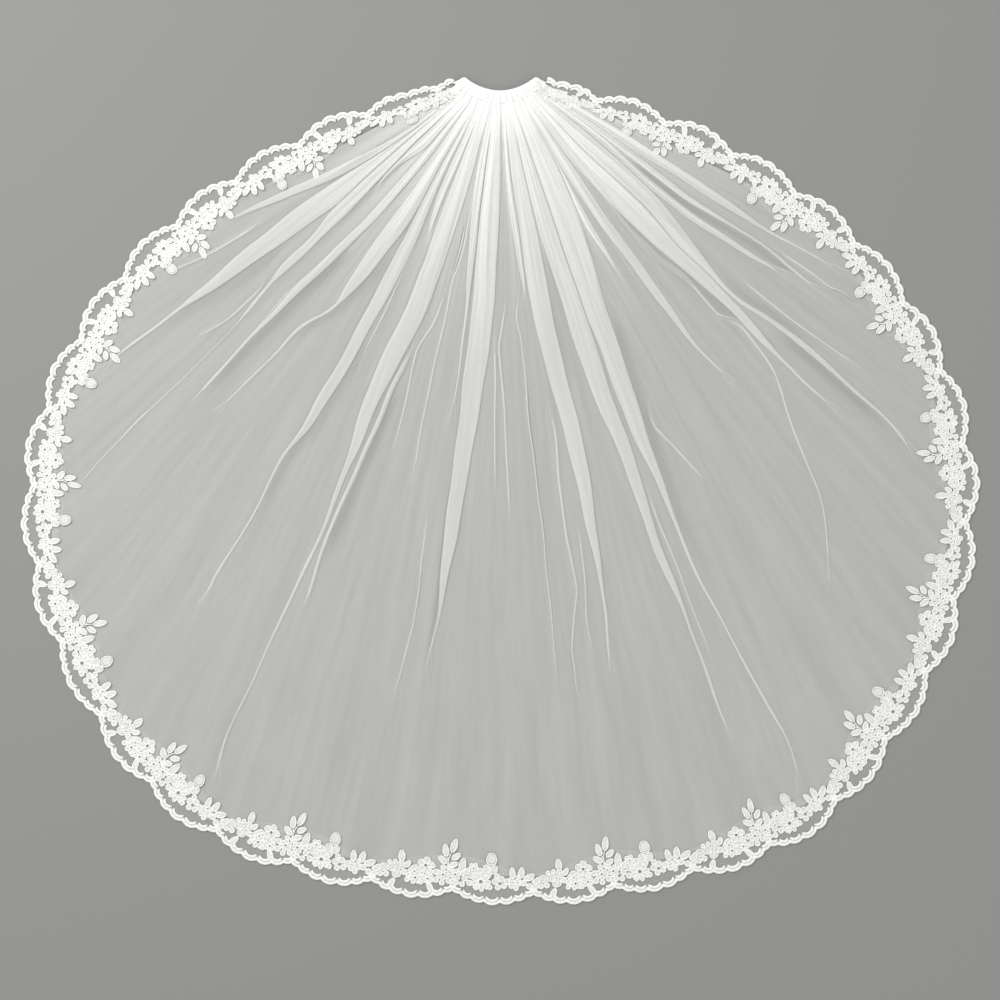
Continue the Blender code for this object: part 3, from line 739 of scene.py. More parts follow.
def ridges(degrees, radius):
    """0 to 1: fine gathers that run out from the heading, uneven in width."""
    a = np.radians(degrees)
    wide = np.sin(46 * a + 1.7 * np.sin(7 * a + 0.6) + 5.0 * radius)
    fine = np.sin(97 * a + 2.3 * np.sin(11 * a + 2.1) - 9.0 * radius + 1.0)
    return np.clip(0.5 + 0.30 * wide + 0.20 * fine, 0.0, 1.0)


def swells(x, y, degrees, radius):
    """0 to 1: broad soft lifts of the loose net."""
    a = np.radians(degrees)
    bend = 1.5 * np.sin(12.4 * radius)
    rays = np.sin(9 * a + 1.1 + bend) + 0.7 * np.sin(17 * a - 0.8 + 3.0 * radius)
    rounds = np.sin(13 * x + 4 * y + 0.5) + np.sin(-6 * x + 15 * y + 2.0)
    return np.clip(0.5 + 0.16 * rays + 0.11 * rounds, 0.0, 1.0)


def gather_top(degrees, radius):
    """How high the gathered net stands, over what lies beneath it."""
    share = share_of(degrees)
    drawn_up = bunch(share, radius) * (0.45 + 0.35 * ridges(degrees, radius))
    return underside(share, radius) + NET_LIFT + drawn_up


print("net: stands", round(1000 * float(gather_top(0.0, 0.06)), 1), "mm high in the gathers")

# %% Where each point of the net lies
ROWS = 84
ROW_SPREAD = 1.35           # over 1, the rows lie closer together towards the heading
FIRST_GUESS = 150           # which of the distances gives the directions to start from
FIT_ROUNDS = 6
line_deg, line_height, line_dense, line_weave, line_folded = map(np.array, zip(*lines))
share_out = np.linspace(0.0, 1.0, ROWS) ** ROW_SPREAD


def read_lines(table, radius):
    """Each line's value at its own distance from the pole."""
    return np.array([np.interp(at, RADII, values) for at, values in zip(radius, table)])


net_deg = np.repeat(line_deg[:, FIRST_GUESS:FIRST_GUESS + 1], ROWS, axis=1)
for _ in range(FIT_ROUNDS):
    start = heading_radius(share_of(net_deg))
    edge = np.interp(net_deg, EDGE_DEG, EDGE_RADIUS)
    net_radius = start + (edge - start) * share_out[None, :]
    net_deg = np.clip(read_lines(line_deg, net_radius), -SIDE_LEFT, SIDE_RIGHT)
net_x, net_y = place(net_deg, net_radius)
to_hem = np.interp(net_deg, EDGE_DEG, EDGE_RADIUS) - net_radius
print("net:", net_deg.size, "points in", ROWS, "rows")

# %% How high and how dense the net is at each point
side_room = ease(1.0 - np.abs(share_of(net_deg)), 0.0, 0.09)
clear_of_lace = ease(to_hem, 0.030, 0.075) * np.where(net_radius > 0.13, side_room, 1.0)
stand = read_lines(line_height, net_radius)
stand = stand * (0.25 + 0.75 * clear_of_lace) * ease(net_radius, 0.050, 0.100)
loose = ease(net_radius, 0.12, 0.24) * clear_of_lace
fan_out = 1.0 - ease(net_radius, 0.10, 0.34)
net_z = (
    gather_top(net_deg, net_radius)
    + RIDGE_HEIGHT * fan_out * clear_of_lace * ridges(net_deg, net_radius)
    + SWELL_HEIGHT * loose * swells(net_x, net_y, net_deg, net_radius)
    + stand
)
in_fold = read_lines(line_folded, net_radius)
gathered_in = in_fold * np.interp(net_radius, DENSE_RADIUS, FOLD_LAYERS)
gathered_in += (1.0 - in_fold) * np.interp(net_radius, DENSE_RADIUS, OPEN_LAYERS)
# These layers also carry the painted shade beside some folds.
net_layers = gathered_in * read_lines(line_dense, net_radius)
lowest, highest = float(net_z.min()), float(net_z.max())
print("net: height", round(lowest * 1000, 2), "to", round(highest * 1000, 2), "mm")


# %% The net as one mesh
def finished(name, mesh):
    """A new object at the origin, in the scene."""
    piece = bpy.data.objects.new(name, mesh)
    bpy.context.scene.collection.objects.link(piece)
    return piece


def cloth_mesh(name, points, faces, cloth):
    """A smooth mesh with cloth coordinates in metres, one pair for each of its points."""
    mesh = bpy.data.meshes.new(name)
    mesh.from_pydata(points, [], faces)
    layer = mesh.uv_layers.new(name="cloth")
    corner = np.array([loop.vertex_index for loop in mesh.loops])
    layer.data.foreach_set("uv", np.asarray(cloth, float)[corner].reshape(-1))
    mesh.shade_smooth()
    return mesh


def sheet_mesh(name, x, y, z, u, v):
    """A grid of points as one open sheet facing up."""
    points = np.stack([x, y, z], axis=-1).reshape(-1, 3)
    index = np.arange(x.size).reshape(x.shape)
    faces = np.stack(
        [index[:-1, :-1], index[:-1, 1:], index[1:, 1:], index[1:, :-1]], axis=-1).reshape(-1, 4)
    cloth = np.stack([u, v], axis=-1).reshape(-1, 2)
    return cloth_mesh(name, points.tolist(), faces.tolist(), cloth)


def mesh_area(mesh):
    """Square metres of surface."""
    return sum(face.area for face in mesh.polygons)


net_mesh = sheet_mesh(
    "veil_net", net_x, net_y, net_z,
    net_x + line_weave[:, None], net_y + 0.6 * line_weave[:, None])
layers = net_mesh.attributes.new("layers", "FLOAT", "POINT")
layers.data.foreach_set("value", net_layers.reshape(-1))
fan = net_mesh.attributes.new("fan", "FLOAT_VECTOR", "POINT")
fan_values = np.stack([net_deg, net_radius, np.zeros_like(net_deg)], axis=-1)
fan.data.foreach_set("vector", fan_values.reshape(-1))
veil_net = finished("veil_net", net_mesh)
net_area = round(mesh_area(net_mesh), 3)
print("net:", len(net_mesh.polygons) * 2, "triangles,", net_area, "square metres of cloth")

# %% [markdown]
# ## The look of net
#
# Bridal net is a honeycomb of hair-fine threads, about a millimetre from hole to hole. Three
# waves at 120 degrees to each other add up to a honeycomb, which costs a few math nodes and no
# picture. The threads are white and the holes are clear, so the shader mixes through Alpha.
# Where net lies in n layers too fine to model, as in the gathers, what still shows through is
# the clear share to the power of n.


# %% A few words for building node trees
def new_shader(name):
    """A new material, its tree and its shader."""
    material = bpy.data.materials.new(name)
    material.use_nodes = True
    tree = material.node_tree
    return material, tree, tree.nodes["Principled BSDF"]


def feed(tree, target, value):
    """Sets a socket, or links it when the value is another socket."""
    if isinstance(value, bpy.types.NodeSocket):
        tree.links.new(value, target)
    else:
        target.default_value = value


def feed_all(tree, made, inputs):
    """Sets or links a node's sockets by their names."""
    for name, value in inputs.items():
        feed(tree, made.inputs[name], value)


def node(tree, kind, inputs=None, **settings):
    """A new node with its settings, then its inputs by name."""
    made = tree.nodes.new(kind)
    for key, value in settings.items():
        setattr(made, key, value)
    feed_all(tree, made, inputs or {})
    return made


def math_node(tree, operation, first, second=None):
    """The result of one sum."""
    made = node(tree, "ShaderNodeMath", operation=operation)
    feed(tree, made.inputs[0], first)
    if second is not None:
        feed(tree, made.inputs[1], second)
    return made.outputs[0]


def vector_node(tree, operation, first, second):
    """The result of one sum on two vectors."""
    made = node(tree, "ShaderNodeVectorMath", operation=operation)
    feed(tree, made.inputs[0], first)
    feed(tree, made.inputs[1], second)
    return made.outputs["Value" if operation == "DOT_PRODUCT" else "Vector"]


def remap(tree, value, low, high, to_low, to_high, soft=True):
    """A value stretched from one range to another, level beyond both ends."""
    made = node(tree, "ShaderNodeMapRange", interpolation_type="SMOOTHSTEP" if soft else "LINEAR")
    for socket, given in zip(made.inputs[:5], (value, low, high, to_low, to_high)):
        feed(tree, socket, given)
    return made.outputs[0]


print("words: new_shader, feed, feed_all, node, math_node, vector_node, remap")


# %% Threads, holes and layers
def honeycomb(tree, cell):
    """1 on the threads of a hexagonal net and 0 in its holes, from the cloth coordinates."""
    cloth = node(tree, "ShaderNodeUVMap", uv_map="cloth").outputs["UV"]
    wave = 4.0 * math.pi / (math.sqrt(3.0) * cell)
    total = None
    for turn in (0.0, 120.0, 240.0):
        a = math.radians(turn)
        along = vector_node(tree, "DOT_PRODUCT", cloth, (wave * math.cos(a), wave * math.sin(a), 0.0))
        swing = math_node(tree, "COSINE", along)
        total = swing if total is None else math_node(tree, "ADD", total, swing)
    return remap(tree, total, -1.2, 0.4, 1.0, 0.0)


def through_layers(tree, cover, count):
    """The share covered by this many layers that each cover a share."""
    clear = math_node(tree, "SUBTRACT", 1.0, cover)
    still_clear = math_node(tree, "POWER", clear, count)
    return math_node(tree, "SUBTRACT", 1.0, still_clear)


print("two layers that each cover", 0.3, "cover", round(1.0 - (1.0 - 0.3) ** 2, 2), "together")

# %% Net material
NET_CELL = 0.00105
NET_WHITE = (0.95, 0.95, 0.935)


def fan_noise(tree, scale, detail):
    """Uneven streaks that run out from the heading, from the fan's direction and distance."""
    fan_at = node(tree, "ShaderNodeAttribute", attribute_name="fan").outputs["Vector"]
    scaled = node(tree, "ShaderNodeMapping", {"Vector": fan_at, "Scale": scale})
    inputs = {"Vector": scaled.outputs["Vector"], "Scale": 1.0, "Detail": detail}
    return node(tree, "ShaderNodeTexNoise", inputs), fan_at


def gathered_count(tree):
    """How many layers lie at each point: the sheet's own count, made uneven by streaks and rays."""
    streak, fan_at = fan_noise(tree, (1.1, 7.0, 1.0), 4.0)
    streak.inputs["Roughness"].default_value = 0.6
    streaks = remap(tree, streak.outputs["Fac"], 0.30, 0.70, 0.90, 1.10)
    ray, _ = fan_noise(tree, (0.42, 1.6, 1.0), 3.0)
    distance = node(tree, "ShaderNodeSeparateXYZ", {"Vector": fan_at})
    swing = remap(tree, distance.outputs["Y"], 0.10, 0.36, 0.42, 0.08)
    ray_share = remap(tree, ray.outputs["Fac"], 0.32, 0.68, -1.0, 1.0)
    rays = math_node(tree, "ADD", 1.0, math_node(tree, "MULTIPLY", ray_share, swing))
    uneven = math_node(tree, "MULTIPLY", streaks, rays)
    layers_at = node(tree, "ShaderNodeAttribute", attribute_name="layers").outputs["Fac"]
    return math_node(tree, "MULTIPLY", layers_at, uneven)


def net_material(name, hole_cover, thread_cover, gathered):
    """White net: the share that its holes and its threads cover, once or once for each layer."""
    material, tree, shader = new_shader(name)
    threads = honeycomb(tree, NET_CELL)
    cover = remap(tree, threads, 0.0, 1.0, hole_cover, thread_cover, soft=False)
    count = gathered_count(tree) if gathered else 1.0
    feed_all(tree, shader, {
        "Alpha": through_layers(tree, cover, count), "Base Color": (*NET_WHITE, 1.0),
        "Roughness": 0.75, "Specular IOR Level": 0.2, "Sheen Weight": 0.15,
    })
    return material


net_mesh.materials.append(net_material("sheer_net", 0.12, 0.50, gathered=True))
print("material: sheer_net, cells of", NET_CELL * 1000, "mm")

# %% [markdown]
# ## The lace edging
#
# The edging is woven by the metre, so it has one repeat: two deep scallops of a double cord,
# with leaves, buds and flowers above them, each outlined by a fine cord and filled with satin
# thread. One repeat is drawn flat from a short chart. Geometry Nodes lay copies of it end to
# end, bend them along the sewn line and trim both ends, which leaves about seventeen repeats.
# The chart is in millimetres, across from a tall sprig's valley and in from the valley line,
# and a tilt leans to the right of straight in.

# %% The chart of one repeat
SCALLOP_PITCH = 0.0887
REPEAT = 2 * SCALLOP_PITCH
FIRST_VALLEY = 0.0530       # from the heading's corner
LEAVES = (
    # across, in, length, width, tilt
    (-2.5, 46.0, 17.5, 8.4, 14), (-11.5, 40.0, 15.5, 8.2, -12), (-14.0, 29.0, 13.5, 8.0, -55),
    (1.0, 34.0, 12.5, 7.6, 52), (-1.0, 24.5, 11.5, 7.4, 64),
    (65.0, 19.0, 15.0, 7.6, -6), (75.0, 19.5, 14.5, 8.2, 10), (84.5, 14.5, 14.0, 8.4, 60),
    (93.0, 10.5, 11.5, 8.0, 35), (118.0, 28.0, 14.5, 8.6, -5), (133.0, 16.0, 11.0, 7.4, 52),
    (125.5, 19.5, 10.5, 7.0, 34), (152.5, -3.5, 15.0, 7.2, -28), (8.7, 24.5, 19.0, 9.0, 8),
    (14.5, 18.5, 10.5, 6.6, 30), (110.5, -4.0, 13.0, 7.4, 28),
)
BUDS = (
    # across, in, length, width, tilt
    (41.0, 34.0, 15.5, 13.0, -4), (36.3, 22.5, 11.5, 9.6, -24), (44.2, 22.0, 11.5, 9.6, 22),
    (100.0, 12.5, 10.5, 11.6, 0), (109.2, 13.5, 11.0, 11.0, 10), (118.5, 17.5, 11.0, 10.4, 0),
    (114.5, 7.5, 11.5, 11.0, -12),
)
FLOWERS = (
    # across, in, diameter, petals, turn
    (145.5, 20.5, 20.0, 5, 8), (21.5, 22.5, 13.5, 5, 30), (165.5, 12.0, 16.0, 6, 0),
    (135.5, 5.0, 16.5, 6, 20), (149.2, 5.5, 15.0, 6, 50), (1.5, 13.5, 15.5, 6, 15),
)
STARS = (
    # across, in, diameter, rays, turn
    (30.5, 7.5, 24.0, 9, 12),
)
BEADS = (
    # across, in, diameter
    (46.5, 8.5, 8.4), (53.0, 11.5, 8.2), (59.5, 9.0, 8.2), (64.5, 4.5, 7.6), (49.5, 2.0, 7.4),
    (56.2, 4.0, 7.6), (70.5, 8.5, 8.4), (77.5, 8.0, 8.2), (84.0, 4.2, 8.0), (90.5, 3.2, 7.6),
    (97.0, 4.2, 7.2), (103.5, 5.0, 7.4), (122.5, 10.0, 8.0), (128.0, 7.0, 7.8), (12.5, 10.0, 8.0),
    (19.0, 13.8, 8.0), (18.2, 5.2, 7.8), (10.0, 3.2, 7.2), (157.4, 14.2, 7.8), (158.4, 5.4, 7.8),
    (172.4, 5.4, 7.6), (174.0, 19.5, 7.2), (137.0, 14.4, 7.0), (29.0, 20.0, 7.4), (-6.0, 20.5, 7.0),
    (69.5, 1.6, 6.6), (165.2, 2.6, 7.0), (3.6, 4.4, 6.8),
    (48.0, 14.8, 7.0), (64.5, 11.8, 7.2), (71.5, 14.4, 6.4), (80.5, 13.6, 6.6), (24.0, 14.6, 7.0),
    (38.5, 15.6, 7.6), (40.5, 1.6, 7.0), (90.0, 9.4, 7.0), (105.2, 19.2, 6.2), (111.5, 20.4, 6.2),
    (142.0, 11.6, 7.4), (151.2, 13.6, 7.2), (129.6, 13.2, 6.4), (127.0, 1.6, 6.4), (142.0, 0.8, 6.6),
    (153.5, 20.6, 6.6), (165.0, 20.6, 6.8), (177.2, 5.6, 7.0), (9.0, 15.8, 6.8), (24.6, 1.6, 6.2),
)
STEMS = (
    # three points each, across and in
    ((-4.5, 38.0), (-7.5, 28.0), (-4.0, 17.0)), ((-9.5, 33.0), (-7.5, 28.5), (-7.0, 24.0)),
    ((-9.0, 25.5), (-7.0, 23.0), (-5.5, 20.0)), ((65.5, 12.0), (69.0, 8.0), (72.0, 2.5)),
    ((74.5, 12.5), (74.0, 8.0), (72.5, 3.0)), ((79.5, 11.0), (76.5, 8.5), (74.0, 4.0)),
    ((118.0, 21.0), (117.5, 14.0), (113.0, 3.0)), ((128.0, 12.0), (124.5, 12.0), (120.5, 9.0)),
    ((40.0, 27.0), (38.5, 20.0), (34.0, 13.0)), ((5.0, 21.0), (4.0, 16.0), (2.5, 11.0)),
    ((157.0, -8.5), (152.0, -2.0), (148.0, 4.0)), ((107.5, -8.0), (111.0, -2.5), (113.5, 5.0)),
)
SMALL_SCALLOPS = (0.0, 0.115, 0.245, 0.400, 0.585, 0.755, 0.885, 1.0)   # shares of a deep one
VALLEY_IN = 0.0026          # the cord's middle at a valley, in from the valley line
CUSP_DEPTH = 0.0132
SMALL_BULGE = 0.31          # of a small scallop's width
print("repeat:", REPEAT * 1000, "mm,", len(LEAVES) + len(BUDS) + len(BEADS), "leaves, buds and beads")

# %% [markdown]
# ### Cord and satin stitch
#
# Every motif is two kinds of thread: a cord laid along its outline, and satin stitch that fills
# it. Curve objects with a bevel could be the cords, but one repeat has well over a hundred of
# them. Here each is a few rings of points along its path, collected with the others in one mesh,
# and its cloth coordinates run along the thread, so that the material can show the twist.


# %% Many small shapes in one mesh
class Threadwork:
    """Collects small closed shapes, with cloth coordinates that follow each thread."""

    def __init__(self):
        self.points, self.faces, self.cloth = [], [], []

    def add(self, points, faces, cloth):
        """One shape, with its faces' numbers counted from its own first point."""
        base = len(self.points)
        self.points += [tuple(p) for p in points]
        self.cloth += [tuple(c) for c in cloth]
        self.faces += [tuple(base + i for i in face) for face in faces]

    def mesh(self, name):
        """All the shapes together."""
        return cloth_mesh(name, self.points, self.faces, self.cloth)


leaf_cords, leaf_pads = Threadwork(), Threadwork()
flower_cords, flower_pads = Threadwork(), Threadwork()
cord_work = Threadwork()
print("threadwork: five empty meshes, for leaves, flowers and the scalloped cord")

# %% A cord and a pad
CORD_SECTION = ((-1.0, 0.0), (-0.78, 0.68), (0.0, 1.0), (0.78, 0.68), (1.0, 0.0))


def add_cord(work, path, width, height, base=0.0, closed=False):
    """A flattened cord along a path in the plane, with a flat underside."""
    path = np.asarray(path, float)
    ahead = np.roll(path, -1, axis=0) if closed else np.vstack([path[1:], path[-1:]])
    behind = np.roll(path, 1, axis=0) if closed else np.vstack([path[:1], path[:-1]])
    along = ahead - behind
    along /= np.linalg.norm(along, axis=1)[:, None]
    left = np.stack([-along[:, 1], along[:, 0]], axis=1)
    length = np.concatenate([[0.0], np.cumsum(np.linalg.norm(np.diff(path, axis=0), axis=1))])
    points, cloth = [], []
    for k, (p, side) in enumerate(zip(path, left)):
        full = 1.0 if closed or 0 < k < len(path) - 1 else 0.6
        for across, up in CORD_SECTION:
            offset = side * across * width / 2 * full
            points.append((p[0] - offset[0], p[1] - offset[1], base + up * height * full))
            cloth.append((across * width / 2, length[k]))
    n, rings = len(CORD_SECTION), len(path)
    faces = []
    for k in range(rings if closed else rings - 1):
        for j in range(n):
            a, b = k * n + j, k * n + (j + 1) % n
            c, d = ((k + 1) % rings) * n + (j + 1) % n, ((k + 1) % rings) * n + j
            faces.append((a, d, c, b))
    if not closed:
        faces.append(tuple(range(n)))
        faces.append(tuple(range((rings - 1) * n + n - 1, (rings - 1) * n - 1, -1)))
    work.add(points, faces, cloth)


def add_pad(work, loop, middle, height, base=0.0, tilt=0.0):
    """Satin stitch that fills a loop: a low dome on a flat underside."""
    loop, middle = np.asarray(loop, float), np.asarray(middle, float)
    n = len(loop)
    c, s = math.cos(tilt), math.sin(tilt)
    points, cloth = [], []
    for share, up in ((1.0, 0.0), (0.62, 0.85), (0.0, 1.0)):
        ring = middle + (loop - middle) * share if share else middle[None, :]
        for p in ring:
            points.append((p[0], p[1], base + up * height))
            d = p - middle
            cloth.append((d[0] * c - d[1] * s, d[0] * s + d[1] * c))
    faces = []
    for j in range(n):
        k = (j + 1) % n
        faces.append((j, k, n + k, n + j))
        faces.append((n + j, n + k, 2 * n))
    faces.append(tuple(range(n - 1, -1, -1)))
    work.add(points, faces, cloth)


print("a cord has", len(CORD_SECTION), "points round it")

# %% Leaves, petals and buds
MM = 0.001
OUTLINE_WIDTH, OUTLINE_HEIGHT = 0.0019, 0.0012
PAD_HEIGHT = 0.0007
PETAL_STEP = 0.0002         # from one overlapping petal to the next


def turned(points, across, inward, tilt):
    """Points drawn standing up, leaned to the right and put in place."""
    a = math.radians(tilt)
    points = np.asarray(points, float)
    x = points[:, 0] * math.cos(a) + points[:, 1] * math.sin(a)
    y = -points[:, 0] * math.sin(a) + points[:, 1] * math.cos(a)
    return np.stack([x + across, y + inward], axis=1)


def leaf_loop(length, width, sharp, points):
    """Anticlockwise loop, pointed at the top and rounder below."""
    loop = []
    for k in range(points):
        a = 2 * math.pi * k / points + math.pi / 2
        up = math.sin(a)
        half = (1.0 - up * up) ** sharp * (1.0 - 0.18 * up)
        loop.append((math.copysign(half, math.cos(a)) * width / 2 if abs(math.cos(a)) > 1e-6 else 0.0,
                     up * length / 2))
    return loop


def add_leaf(cords, pads, across, inward, length, width, tilt, base=0.0, pointed=False):
    """A leaf, or a rounder petal or bud: a corded outline round a pad of satin stitch."""
    sharp, points, cord = (0.62, 14, 1.0) if pointed else (0.42, 12, 0.9)
    loop = leaf_loop(length - OUTLINE_WIDTH, width - OUTLINE_WIDTH, sharp, points)
    loop = turned(loop, across, inward, tilt)
    add_cord(cords, loop, cord * OUTLINE_WIDTH, OUTLINE_HEIGHT, base, closed=True)
    add_pad(pads, loop, loop.mean(axis=0), PAD_HEIGHT, base, math.radians(tilt))


print("motifs: outlined by a cord of", OUTLINE_WIDTH / MM, "mm over pads of", PAD_HEIGHT / MM, "mm")


# %% Beads, flowers and stems
def round_loop(diameter, points=11):
    """Anticlockwise ring about the middle."""
    angles = 2 * np.pi * np.arange(points) / points
    return np.stack([np.cos(angles), np.sin(angles)], axis=1) * diameter / 2


def add_bead(cords, pads, across, inward, diameter, base=0.0):
    """A small corded ring round a flatter pad, whose stitches lie its own way."""
    loop = round_loop(diameter - OUTLINE_WIDTH) + (across, inward)
    add_cord(cords, loop, OUTLINE_WIDTH, OUTLINE_HEIGHT, base, closed=True)
    add_pad(pads, loop, loop.mean(axis=0), 0.8 * PAD_HEIGHT, base, across * 40)


def add_flower(cords, pads, across, inward, diameter, petals, turn, slender=1.0):
    """Round petals about a ring with an open middle."""
    reach = 0.29 * diameter
    for k in range(petals):
        tilt = turn + 360.0 * k / petals
        a = math.radians(tilt)
        width = 2.0 * math.pi * reach / petals * 1.25 * slender
        add_leaf(cords, pads, across + reach * math.sin(a), inward + reach * math.cos(a),
                 0.45 * diameter, width, tilt, PETAL_STEP * (k % 2))
    ring = round_loop(0.24 * diameter, 9) + (across, inward)
    add_cord(cords, ring, 0.9 * OUTLINE_WIDTH, 1.3 * OUTLINE_HEIGHT, PETAL_STEP, closed=True)


def curve_through(points, steps=8):
    """A bow through three points."""
    a, b, c = (np.array(p, float) for p in points)
    control = 2 * b - (a + c) / 2
    t = np.linspace(0.0, 1.0, steps)[:, None]
    return (1 - t) ** 2 * a + 2 * t * (1 - t) * control + t * t * c


print("flowers:", sum(row[3] for row in FLOWERS + STARS), "petals and rays a repeat")

# %% Draw the motifs
RIB_WIDTH, RIB_HEIGHT = 0.0007, 0.0009
HEART_WIDTH, HEART_HEIGHT = 0.0008, 0.0010      # the smaller loop inside a bud
STEM_WIDTH, STEM_HEIGHT = 0.0014, 0.0012
LEAF_STEP = 0.0003                              # from one overlapping leaf to the next
for rank, (across, inward, length, width, tilt) in enumerate(LEAVES):
    base = LEAF_STEP * (rank % 3)
    add_leaf(leaf_cords, leaf_pads, across * MM, inward * MM, length * MM, width * MM, tilt, base,
             pointed=True)
    rib = turned([(0.0, -0.36 * length * MM), (0.0, 0.0), (0.0, 0.3 * length * MM)],
                 across * MM, inward * MM, tilt)
    add_cord(leaf_cords, rib, RIB_WIDTH, RIB_HEIGHT, base)
for across, inward, length, width, tilt in BUDS:
    add_leaf(leaf_cords, leaf_pads, across * MM, inward * MM, length * MM, width * MM, tilt, PETAL_STEP)
    heart = leaf_loop(0.55 * length * MM, 0.5 * width * MM, 0.6, 9)
    heart = turned(heart, across * MM, inward * MM, tilt)
    add_cord(leaf_cords, heart, HEART_WIDTH, HEART_HEIGHT, LEAF_STEP, closed=True)
for stem in STEMS:
    add_cord(leaf_cords, curve_through(np.array(stem) * MM), STEM_WIDTH, STEM_HEIGHT)
for across, inward, diameter, petals, turn in FLOWERS:
    add_flower(flower_cords, flower_pads, across * MM, inward * MM, diameter * MM, petals, turn)
for across, inward, diameter, rays, turn in STARS:
    add_flower(flower_cords, flower_pads, across * MM, inward * MM, diameter * MM, rays, turn, 1.05)
for across, inward, diameter in BEADS:
    add_bead(flower_cords, flower_pads, across * MM, inward * MM, diameter * MM)
print("leaves:", len(leaf_cords.faces) + len(leaf_pads.faces), "faces a repeat")
print("flowers:", len(flower_cords.faces) + len(flower_pads.faces), "faces a repeat")

# %% [markdown]
# ### The scalloped edge
#
# The outer edge is two thick cords side by side, with a fine one between them. They run in small
# scallops, seven to each deep one, that meet in cusps. Each small scallop is a bow over the
# straight line between two cusps, and the cusps lie on the deep scallop's own arc.


# %% The scalloped cord
def cusp_line(share):
    """How far in the double cord's cusps lie, along one scallop."""
    return VALLEY_IN - CUSP_DEPTH * np.clip(1.0 - (2.0 * share - 1.0) ** 2, 0.0, 1.0) ** 0.8


def small_scallop(first, last, steps=9):
    """The middle of the double cord between two cusps, from left to right."""
    a = np.array([first * SCALLOP_PITCH, cusp_line(first)])
    b = np.array([last * SCALLOP_PITCH, cusp_line(last)])
    chord = b - a
    out = np.array([chord[1], -chord[0]])
    t = np.linspace(0.0, 1.0, steps)
    swell = np.clip(4.0 * t * (1.0 - t), 0.0, 1.0) ** 0.75
    return a + chord * t[:, None] + out * (SMALL_BULGE * swell)[:, None]


STRAND = 0.0034
STRANDS = (
    # how far out from the middle, width, height, all in STRAND
    (-0.55, 1.0, 0.62), (0.55, 0.95, 0.55),
)
CORE_WIDTH, CORE_HEIGHT = 0.0008, 0.0021        # the fine cord between the two strands
cord_middle = []
for scallop in range(2):
    for first, last in zip(SMALL_SCALLOPS, SMALL_SCALLOPS[1:]):
        path = small_scallop(first, last) + (scallop * SCALLOP_PITCH, 0.0)
        cord_middle.append(path)
        along = np.gradient(path, axis=0)
        along /= np.linalg.norm(along, axis=1)[:, None]
        side = np.stack([-along[:, 1], along[:, 0]], axis=1)
        for offset, width, height in STRANDS:
            add_cord(cord_work, path + side * offset * STRAND, width * STRAND, height * STRAND)
        add_cord(cord_work, path, CORE_WIDTH, CORE_HEIGHT)
cord_middle = np.vstack(cord_middle)
print("cord:", len(cord_work.faces), "faces a repeat")

# %% [markdown]
# ### Laying a repeat along the hem
#
# The node tree takes a strip drawn flat and straight. It sets copies of it one repeat apart,
# and deletes each small shape whose middle falls beyond the lace's ends. Then it reads the sewn
# line at each point's own distance, and moves the point there, in along the line's inward side.
# Near the heading the strip is drawn in, and where it lies on the net it is lifted by the net.
# An edging is eased round a curve by hand, so its pattern also runs a little behind in some
# places and ahead in others. A Float Curve node holds that as one smooth line.

# %% The sewn line as a curve
LEAD_IN = 0.0115            # the lace runs on past the sewn line's ends to the heading
LEAD_TURN = (0.0, 0.10)     # and turns up a little as it does


def led_in(points):
    """The sewn line with a short straight run added at both ends."""
    def beyond(last, before):
        ahead = (last - before) / np.linalg.norm(last - before) + LEAD_TURN
        return last + LEAD_IN * ahead / np.linalg.norm(ahead)
    return np.vstack([beyond(points[0], points[4]), points, beyond(points[-1], points[-5])])


hem_points = led_in(OUTLINE)
hem_data = bpy.data.curves.new("sewn_line", "CURVE")
hem_data.dimensions = "3D"
spline = hem_data.splines.new("POLY")
spline.points.add(len(hem_points) - 1)
for point, (x, y) in zip(spline.points, hem_points):
    point.co = (x, y, 0.0, 1.0)
sewn_line = bpy.data.objects.new("sewn_line", hem_data)
bpy.context.scene.collection.objects.link(sewn_line)
true_length = float(np.sum(np.linalg.norm(np.diff(OUTLINE, axis=0), axis=1)))
LENGTH_SCALE = true_length / LACE_LENGTH
print("sewn line as a curve:", round(true_length, 3), "m and", LEAD_IN, "m at each end")

# %% How the pattern is eased along the hem
EASED_AT = (0.0, 0.14, 0.31, 0.48, 0.65, 0.83, 1.01, 1.19, 1.37, 1.56, 1.75, 1.93, 2.12, 2.30,
            2.48, 2.65, 2.81, 2.99)
EASED_BY = (0.0, -0.009, -0.017, -0.020, -0.022, -0.0225, -0.022, -0.020, -0.014, -0.006, 0.003,
            0.011, 0.023, 0.027, 0.023, 0.016, 0.006, 0.0)
EASED_REACH = 0.1           # metres that the curve's full height stands for


def eased(tree, distance, length):
    """The distance along the hem after easing, for a distance along the straight strip."""
    curve = node(tree, "ShaderNodeFloatCurve")
    line = curve.mapping.curves[0].points
    places = [(at / EASED_AT[-1], 0.5 + by / EASED_REACH) for at, by in zip(EASED_AT, EASED_BY)]
    line[0].location, line[1].location = places[0], places[-1]
    for share, height in places[1:-1]:
        line.new(share, height)
    curve.mapping.update()
    feed(tree, curve.inputs["Value"], math_node(tree, "DIVIDE", distance, length))
    ahead = math_node(tree, "SUBTRACT", curve.outputs["Value"], 0.5)
    return math_node(tree, "ADD", distance, math_node(tree, "MULTIPLY", ahead, EASED_REACH))


print("easing: from", 1000 * min(EASED_BY), "to", 1000 * max(EASED_BY), "mm")

# %% Copies of the strip, end to end and trimmed
RUNS_ON = 0.6               # of the lead-in that a shape's middle may lie past the lace's end


